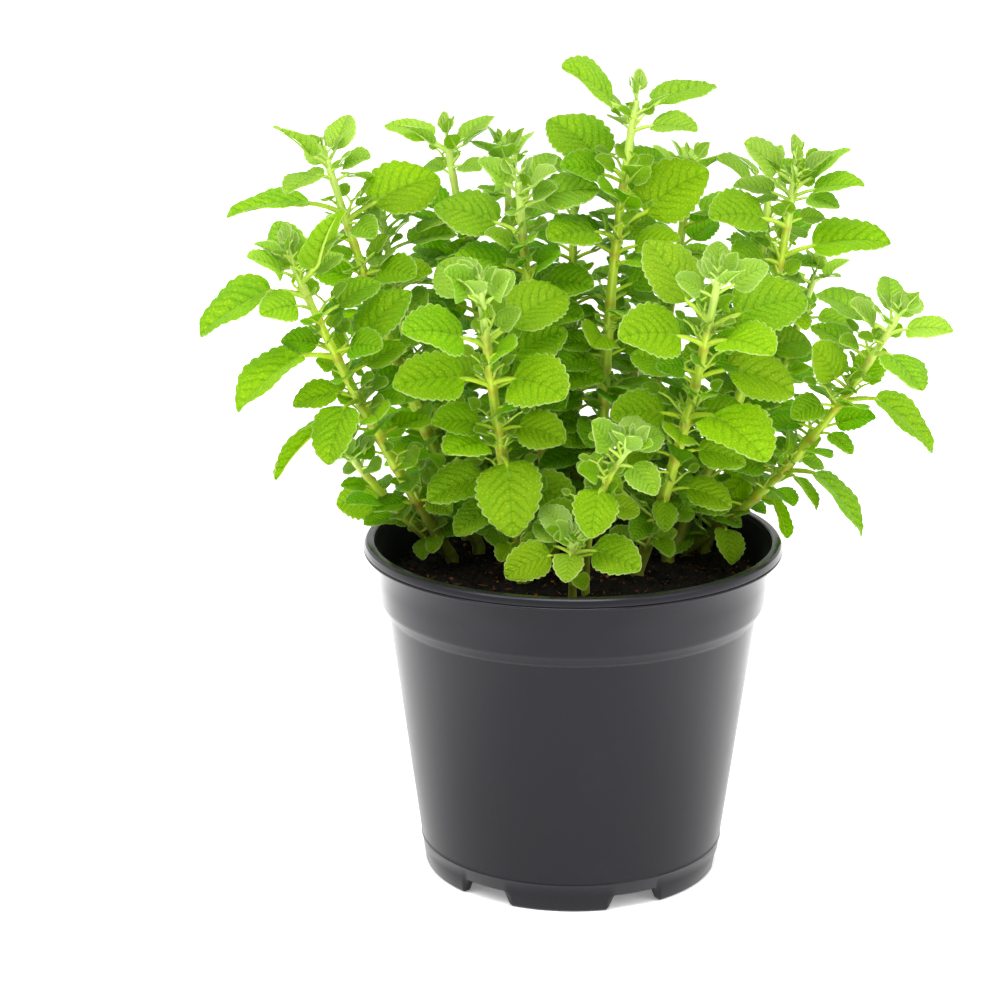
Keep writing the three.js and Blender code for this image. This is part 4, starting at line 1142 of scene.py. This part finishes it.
def arc(centre_r, centre_z, radius, start, end, steps):
    """Points [radius, height] along an arc, its angles in degrees from outward, upward."""
    angles = np.radians(np.linspace(start, end, steps))
    return [(centre_r + radius * math.cos(a), centre_z + radius * math.sin(a)) for a in angles]


def wall_radius(height):
    """The outside of the pot's wall below the collar."""
    return FOOT_RADIUS + (BODY_TOP_RADIUS - FOOT_RADIUS) * height / BODY_TOP_HEIGHT


def parting_line():
    """A low rounded line round the wall, as points [radius, height] going up."""
    heights = [PARTING_HEIGHT + step * PARTING_HALF for step in PARTING_STEPS]
    return [(wall_radius(height) + PARTING_PROUD * (1 - step**2), height)
            for step, height in zip(PARTING_STEPS, heights, strict=True)]


def pot_profile():
    """The pot's outline from the middle of its underside, up the outside and down the inside."""
    under_rim = POT_HEIGHT - RIM_DEPTH
    floor_top = FLOOR_UNDERSIDE + FLOOR_THICKNESS
    ring = FOOT_RADIUS - FOOT_RING_WIDTH
    collar = COLLAR_TOP_RADIUS - COLLAR_FOOT_RADIUS
    return [
        (DRAIN_CIRCLE_RADIUS + DRAIN_RADIUS + 2, FLOOR_UNDERSIDE),
        (ring, FLOOR_UNDERSIDE),
        (ring, 0.3), (ring + 0.3, 0.0),
        (FOOT_RADIUS - FOOT_EDGE, 0.0), (FOOT_RADIUS - 0.3, 0.25), (wall_radius(FOOT_EDGE), FOOT_EDGE),
        (wall_radius(NOTCH_HEIGHT + 0.5), NOTCH_HEIGHT + 0.5),
        *parting_line(),
        *((wall_radius(height), height) for height in WALL_ROWS),
        *((STEP_FOOT[0] + out, STEP_FOOT[1] + up) for out, up in STEP_RISE),
        (COLLAR_FOOT_RADIUS - 0.2, COLLAR_FOOT_HEIGHT + 0.4),
        (COLLAR_FOOT_RADIUS, COLLAR_FOOT_HEIGHT + 1.4),
        (COLLAR_FOOT_RADIUS + collar / 2, (COLLAR_FOOT_HEIGHT + under_rim) / 2),
        (COLLAR_TOP_RADIUS - 0.05, under_rim - 0.6), (COLLAR_TOP_RADIUS + 0.3, under_rim),
        (RIM_RADIUS - 1.0, under_rim),
        *arc(RIM_RADIUS - 0.45, under_rim + RIM_LIP, RIM_LIP, -95, 30, 6),
        *((RIM_RADIUS - inward, under_rim + up) for inward, up in RIM_GROOVE),
        *arc(RIM_RADIUS - 0.4, under_rim + 1.5, 0.4, -60, 0, 4),
        (RIM_RADIUS - RIM_LEAN, POT_HEIGHT - 1.1),
        *arc(RIM_RADIUS - RIM_LEAN - CREST_RADIUS, POT_HEIGHT - 0.88, CREST_RADIUS, 15, 39, 3),
        *arc(RIM_RADIUS - RIM_LEAN - 0.88, POT_HEIGHT - CREST_RADIUS, CREST_RADIUS, 44, 85, 4),
        (RIM_RADIUS - 2.0, POT_HEIGHT - 0.08),
        *arc(RIM_INNER_RADIUS + 0.9, POT_HEIGHT - 0.55, 0.55, 95, 180, 5),
        (RIM_INNER_RADIUS + 0.1, POT_HEIGHT - 2.0),
        (COLLAR_TOP_RADIUS - WALL, under_rim - 0.6),
        (COLLAR_FOOT_RADIUS - WALL, COLLAR_FOOT_HEIGHT + 0.6),
        (BODY_TOP_RADIUS - WALL, BODY_TOP_HEIGHT - 0.6),
        (wall_radius(floor_top) - WALL, floor_top),
        (DRAIN_CIRCLE_RADIUS + DRAIN_RADIUS + 2, floor_top),
    ]


def notch_lift(angle, radius):
    """How high the foot ring's lower edge stands over the surface at an angle in degrees."""
    spacing = 360 / FOOT_COUNT
    away = (angle - FIRST_NOTCH_ANGLE + spacing / 2) % spacing - spacing / 2
    chord = abs(radius * math.sin(math.radians(away)))
    slope = (NOTCH_FOOT_WIDTH - NOTCH_TOP_WIDTH) / 2
    return NOTCH_HEIGHT * min(1.0, max(0.0, (NOTCH_FOOT_WIDTH / 2 - chord) / slope))


def pot_angles():
    """The columns round the pot, with more of them at the ends of each notch."""
    angles = set(np.linspace(0, 360, POT_COLUMNS, endpoint=False).round(3))
    for foot in range(FOOT_COUNT):
        centre = FIRST_NOTCH_ANGLE + foot * 360 / FOOT_COUNT
        for width in np.linspace(NOTCH_TOP_WIDTH - 0.4, NOTCH_FOOT_WIDTH + 0.4, NOTCH_COLUMNS):
            turn = math.degrees(math.asin(width / 2 / FOOT_RADIUS))
            angles |= {round((centre + turn) % 360, 3), round((centre - turn) % 360, 3)}
    return sorted(angles)


def make_pot():
    """The pot's wall and rim as one turned surface with notches in its foot, and its floor."""
    into = Gathering()
    profile = pot_profile()
    angles = pot_angles()
    points = np.empty((len(profile), len(angles), 3))
    for row, (radius, height) in enumerate(profile):
        in_ring = height < NOTCH_HEIGHT and radius > FOOT_RADIUS - FOOT_RING_WIDTH - 0.1
        for column, angle in enumerate(angles):
            turn = math.radians(angle)
            lifted = max(height, notch_lift(angle, FOOT_RADIUS)) if in_ring else height
            points[row, column] = radius * math.cos(turn), radius * math.sin(turn), lifted
    # The rows inside the pot are noted, for the plastic to dull them and darken them with painted
    # shade.
    inside = np.zeros(points.shape)
    inside[-INNER_ROWS:] = 1
    into.add(points, grid_faces(len(profile), len(angles), closed=True), 0, look=inside.reshape(-1, 3))
    add_pot_floor(into, profile[0][0])
    made = into.make("nursery_pot", [plastic_material()])
    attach(made, "root")
    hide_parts("pot")


def level(flat, height):
    """Flat points [x, y] as points at a height."""
    return np.column_stack([flat, np.full(len(flat), height)])


def add_pot_floor(into, radius):
    """The floor inside the foot ring, with a round drain hole beside each foot."""
    floor_top = FLOOR_UNDERSIDE + FLOOR_THICKNESS
    half = math.pi / FOOT_COUNT
    for foot in range(FOOT_COUNT):
        centre = math.radians(FIRST_NOTCH_ANGLE + foot * 360 / FOOT_COUNT)
        middle = DRAIN_CIRCLE_RADIUS * np.array([math.cos(centre), math.sin(centre)])
        turns = centre + 2 * math.pi * np.arange(DRAIN_SIDES) / DRAIN_SIDES
        ways = np.column_stack([np.cos(turns), np.sin(turns)])
        hole = middle + DRAIN_RADIUS * ways
        edge = np.array([sector_edge(middle, way, centre, half, radius) for way in ways])
        points = np.stack([level(edge, FLOOR_UNDERSIDE), level(hole, FLOOR_UNDERSIDE),
                           level(hole, floor_top), level(edge, floor_top)])
        into.add(points, [face[::-1] for face in grid_faces(len(points), DRAIN_SIDES, closed=True)], 0)


def sector_edge(middle, out, centre, half, radius):
    """Where a ray from the middle of a hole leaves the hole's sixth of the floor's disc."""
    along = middle @ out
    reaches = [-along + math.sqrt(along**2 + radius**2 - middle @ middle)]
    for side in (-1, 1):
        wall = centre + side * half
        normal = side * np.array([-math.sin(wall), math.cos(wall)])
        facing = normal @ out
        if facing > 1e-6:
            reaches.append(-(normal @ middle) / facing)
    return middle + min(reaches) * out


def soil_height(x, y):
    """The soil's top in millimetres, uneven by a broad and a narrow wave."""
    share = np.hypot(x, y) / SOIL_EDGE_RADIUS
    (broad, broad_x, broad_y), (narrow, narrow_x, narrow_y) = SOIL_WAVES
    uneven = (broad * np.sin(x * broad_x + 1.3) * np.cos(y * broad_y)
              + narrow * np.sin(x * narrow_x + y * narrow_y))
    return SOIL_EDGE_HEIGHT + SOIL_CROWN * (1 - share**2) + uneven * (1 - share**8)


def make_soil():
    """The soil in the pot, grained on top, with its crumbs and fibres."""
    into = Gathering()
    chance = np.random.default_rng(SEED)
    share = np.linspace(0.0, 1, SOIL_RINGS)
    turn = np.linspace(0, 2 * np.pi, SOIL_COLUMNS, endpoint=False)
    radius = SOIL_EDGE_RADIUS * share[:, None]
    x, y = radius * np.cos(turn), radius * np.sin(turn)
    grain = SOIL_GRAIN * chance.standard_normal(x.shape) * (1 - share[:, None] ** 12)
    top = np.stack([x, y, soil_height(x, y) + grain], -1)
    top[0] = top[0].mean(axis=0)
    ring = np.column_stack([np.cos(turn), np.sin(turn)])
    wall = np.stack([level(out * ring, height) for out, height in SOIL_WALL])
    points = np.concatenate([top, wall])
    look = np.stack([chance.random(points.shape[:2]), chance.random(points.shape[:2]) * 0.6,
                     np.zeros(points.shape[:2])], -1)
    faces = grid_faces(len(points), SOIL_COLUMNS, closed=True)
    into.add(points, faces, 0, look=look.reshape(-1, 3))
    add_crumbs(into, chance)
    made = into.make("peat_soil_top", [soil_material()])
    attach(made, "root")
    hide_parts("soil")


def rounded_faces(points, reach):
    """The outward triangles between points on a ball that lie within reach of each other."""
    count = range(len(points))
    faces = [[a, b, c] for a in count for b in count[a + 1:] for c in count[b + 1:]
             if max(math.dist(points[a], points[b]), math.dist(points[b], points[c]),
                    math.dist(points[a], points[c])) < reach]
    return [face if np.linalg.det(points[face]) > 0 else face[::-1] for face in faces]


def soil_spot(radius, chance):
    """A point [x, y] on the soil within a radius, as likely in one place as in another."""
    away = radius * math.sqrt(chance.random())
    turn = 2 * math.pi * chance.random()
    return away * math.cos(turn), away * math.sin(turn)


def add_crumbs(into, chance):
    """Crumbs and short fibres of peat that lie on the soil."""
    corner = (1 + math.sqrt(5)) / 2
    ball = unit(np.array([[0, 1, corner], [0, -1, corner], [0, 1, -corner], [0, -1, -corner],
                          [1, corner, 0], [-1, corner, 0], [1, -corner, 0], [-1, -corner, 0],
                          [corner, 0, 1], [-corner, 0, 1], [corner, 0, -1], [-corner, 0, -1]], float))
    grit = np.array([[1, 0, 0], [0, 1, 0], [-1, 0, 0], [0, -1, 0], [0, 0, 1], [0, 0, -1]], float)
    lumps, grits = rounded_faces(ball, 1.1), rounded_faces(grit, 1.5)
    for _ in range(CRUMB_COUNT):
        x, y = soil_spot(SOIL_EDGE_RADIUS * CRUMB_SPREAD, chance)
        size = blended(*CRUMB_SIZES, chance.random() ** 3)
        form, faces = (ball, lumps) if size > CRUMB_LUMP else (grit, grits)
        shape = form * (1 + CRUMB_SCATTER * chance.standard_normal((len(form), 1)))
        shape *= chance.uniform(*CRUMB_STRETCH, 3)
        points = shape * size + np.array([x, y, soil_height(x, y) + 0.45 * size])
        into.add(points, faces, 0, look=(chance.random(), chance.random(), 0))
    for _ in range(FIBRE_COUNT):
        x, y = soil_spot(SOIL_EDGE_RADIUS - FIBRE_FROM_EDGE, chance)
        way = 2 * math.pi * chance.random()
        steps = np.linspace(-0.5, 0.5, len(FIBRE_RADII))
        along = chance.uniform(*FIBRE_LENGTHS) * steps
        height = soil_height(x, y) + 0.5 + chance.uniform(*FIBRE_SLOPES) * steps
        spine = np.stack([x + along * math.cos(way), y + along * math.sin(way), height], -1)
        look = np.tile([chance.random(), FIBRE_WARMTH, 0], (len(spine), 1))
        add_tube(into, spine, np.array(FIBRE_RADII), 4, 0, look=look)


# Stage.


def make_camera():
    """The camera as it was fitted to the photo."""
    data = bpy.data.cameras.new("camera")
    data.sensor_width = SENSOR_WIDTH
    data.lens = LENS
    data.clip_start, data.clip_end = CLIP
    camera = bpy.data.objects.new("camera", data)
    turn = Matrix.Rotation(math.radians(-CAMERA_SIDE), 4, "Z")
    tilt = Matrix.Rotation(math.radians(90 - CAMERA_DOWN), 4, "X")
    camera.matrix_world = Matrix.Translation([value * MM for value in CAMERA_PLACE]) @ turn @ tilt
    bpy.context.scene.collection.objects.link(camera)
    bpy.context.scene.camera = camera


def make_floor():
    """A pale floor that glows a little beside the pot, and less under it."""
    mesh = bpy.data.meshes.new("floor")
    corners = [(x * FLOOR_HALF, y * FLOOR_HALF, 0) for x, y in ((-1, -1), (1, -1), (1, 1), (-1, 1))]
    mesh.from_pydata(corners, [], [(0, 1, 2, 3)])
    floor = bpy.data.objects.new("floor", mesh)
    bpy.context.scene.collection.objects.link(floor)
    material, tree, surface, _ = shader("floor_pale")
    place = node(tree, "TexCoord", {}).outputs["Object"]
    across, _, _ = node(tree, "SeparateXYZ", {0: place}).outputs
    glow = mapped(tree, maths(tree, "ABSOLUTE", across), 0.06, 0.2, 0.2, 1.1)
    feed(tree, surface, {"Base Color": (0.93, 0.93, 0.93, 1), "Roughness": 0.6,
                         "Emission Color": (1, 1, 1, 1), "Emission Strength": glow})
    mesh.materials.append(material)


def make_surround():
    """A white surround that is dimmer up in front."""
    world = bpy.data.worlds.new("surround")
    world.use_nodes = True
    bpy.context.scene.world = world
    tree = world.node_tree
    way = node(tree, "TexCoord", {}).outputs["Generated"]
    _, y, z = node(tree, "SeparateXYZ", {0: way}).outputs
    above = times(tree, mapped(tree, z, 0.04, 0.3), mapped(tree, z, 0.98, 0.8))
    dim = times(tree, mapped(tree, y, -0.15, -0.75), above)
    feed(tree, tree.nodes["Background"], {"Color": (1, 1, 1, 1),
                                          "Strength": maths(tree, "MULTIPLY_ADD", dim, -0.45, 1.22)})


def make_lamp(name, place, target, size, power):
    """A soft rectangular lamp that shines from its place at its target."""
    data = bpy.data.lights.new(name, "AREA")
    data.shape = "RECTANGLE"
    data.size, data.size_y = size
    data.energy = power
    lamp = bpy.data.objects.new(name, data)
    lamp.rotation_mode = "QUATERNION"
    lamp.rotation_quaternion = (Vector(target) - Vector(place)).to_track_quat("-Z", "Y")
    lamp.location = place
    bpy.context.scene.collection.objects.link(lamp)


def make_stage():
    """The floor, the surround, the soft lamps, and colours shown as they are."""
    make_floor()
    make_surround()
    for lamp in LAMPS:
        make_lamp(*lamp)
    settings = bpy.context.scene.view_settings
    settings.view_transform = "Standard"
    settings.look = "None"


make_camera()
make_stage()
make_pot()
make_soil()
make_bush([leaf_material(), stem_material(), hair_material()])
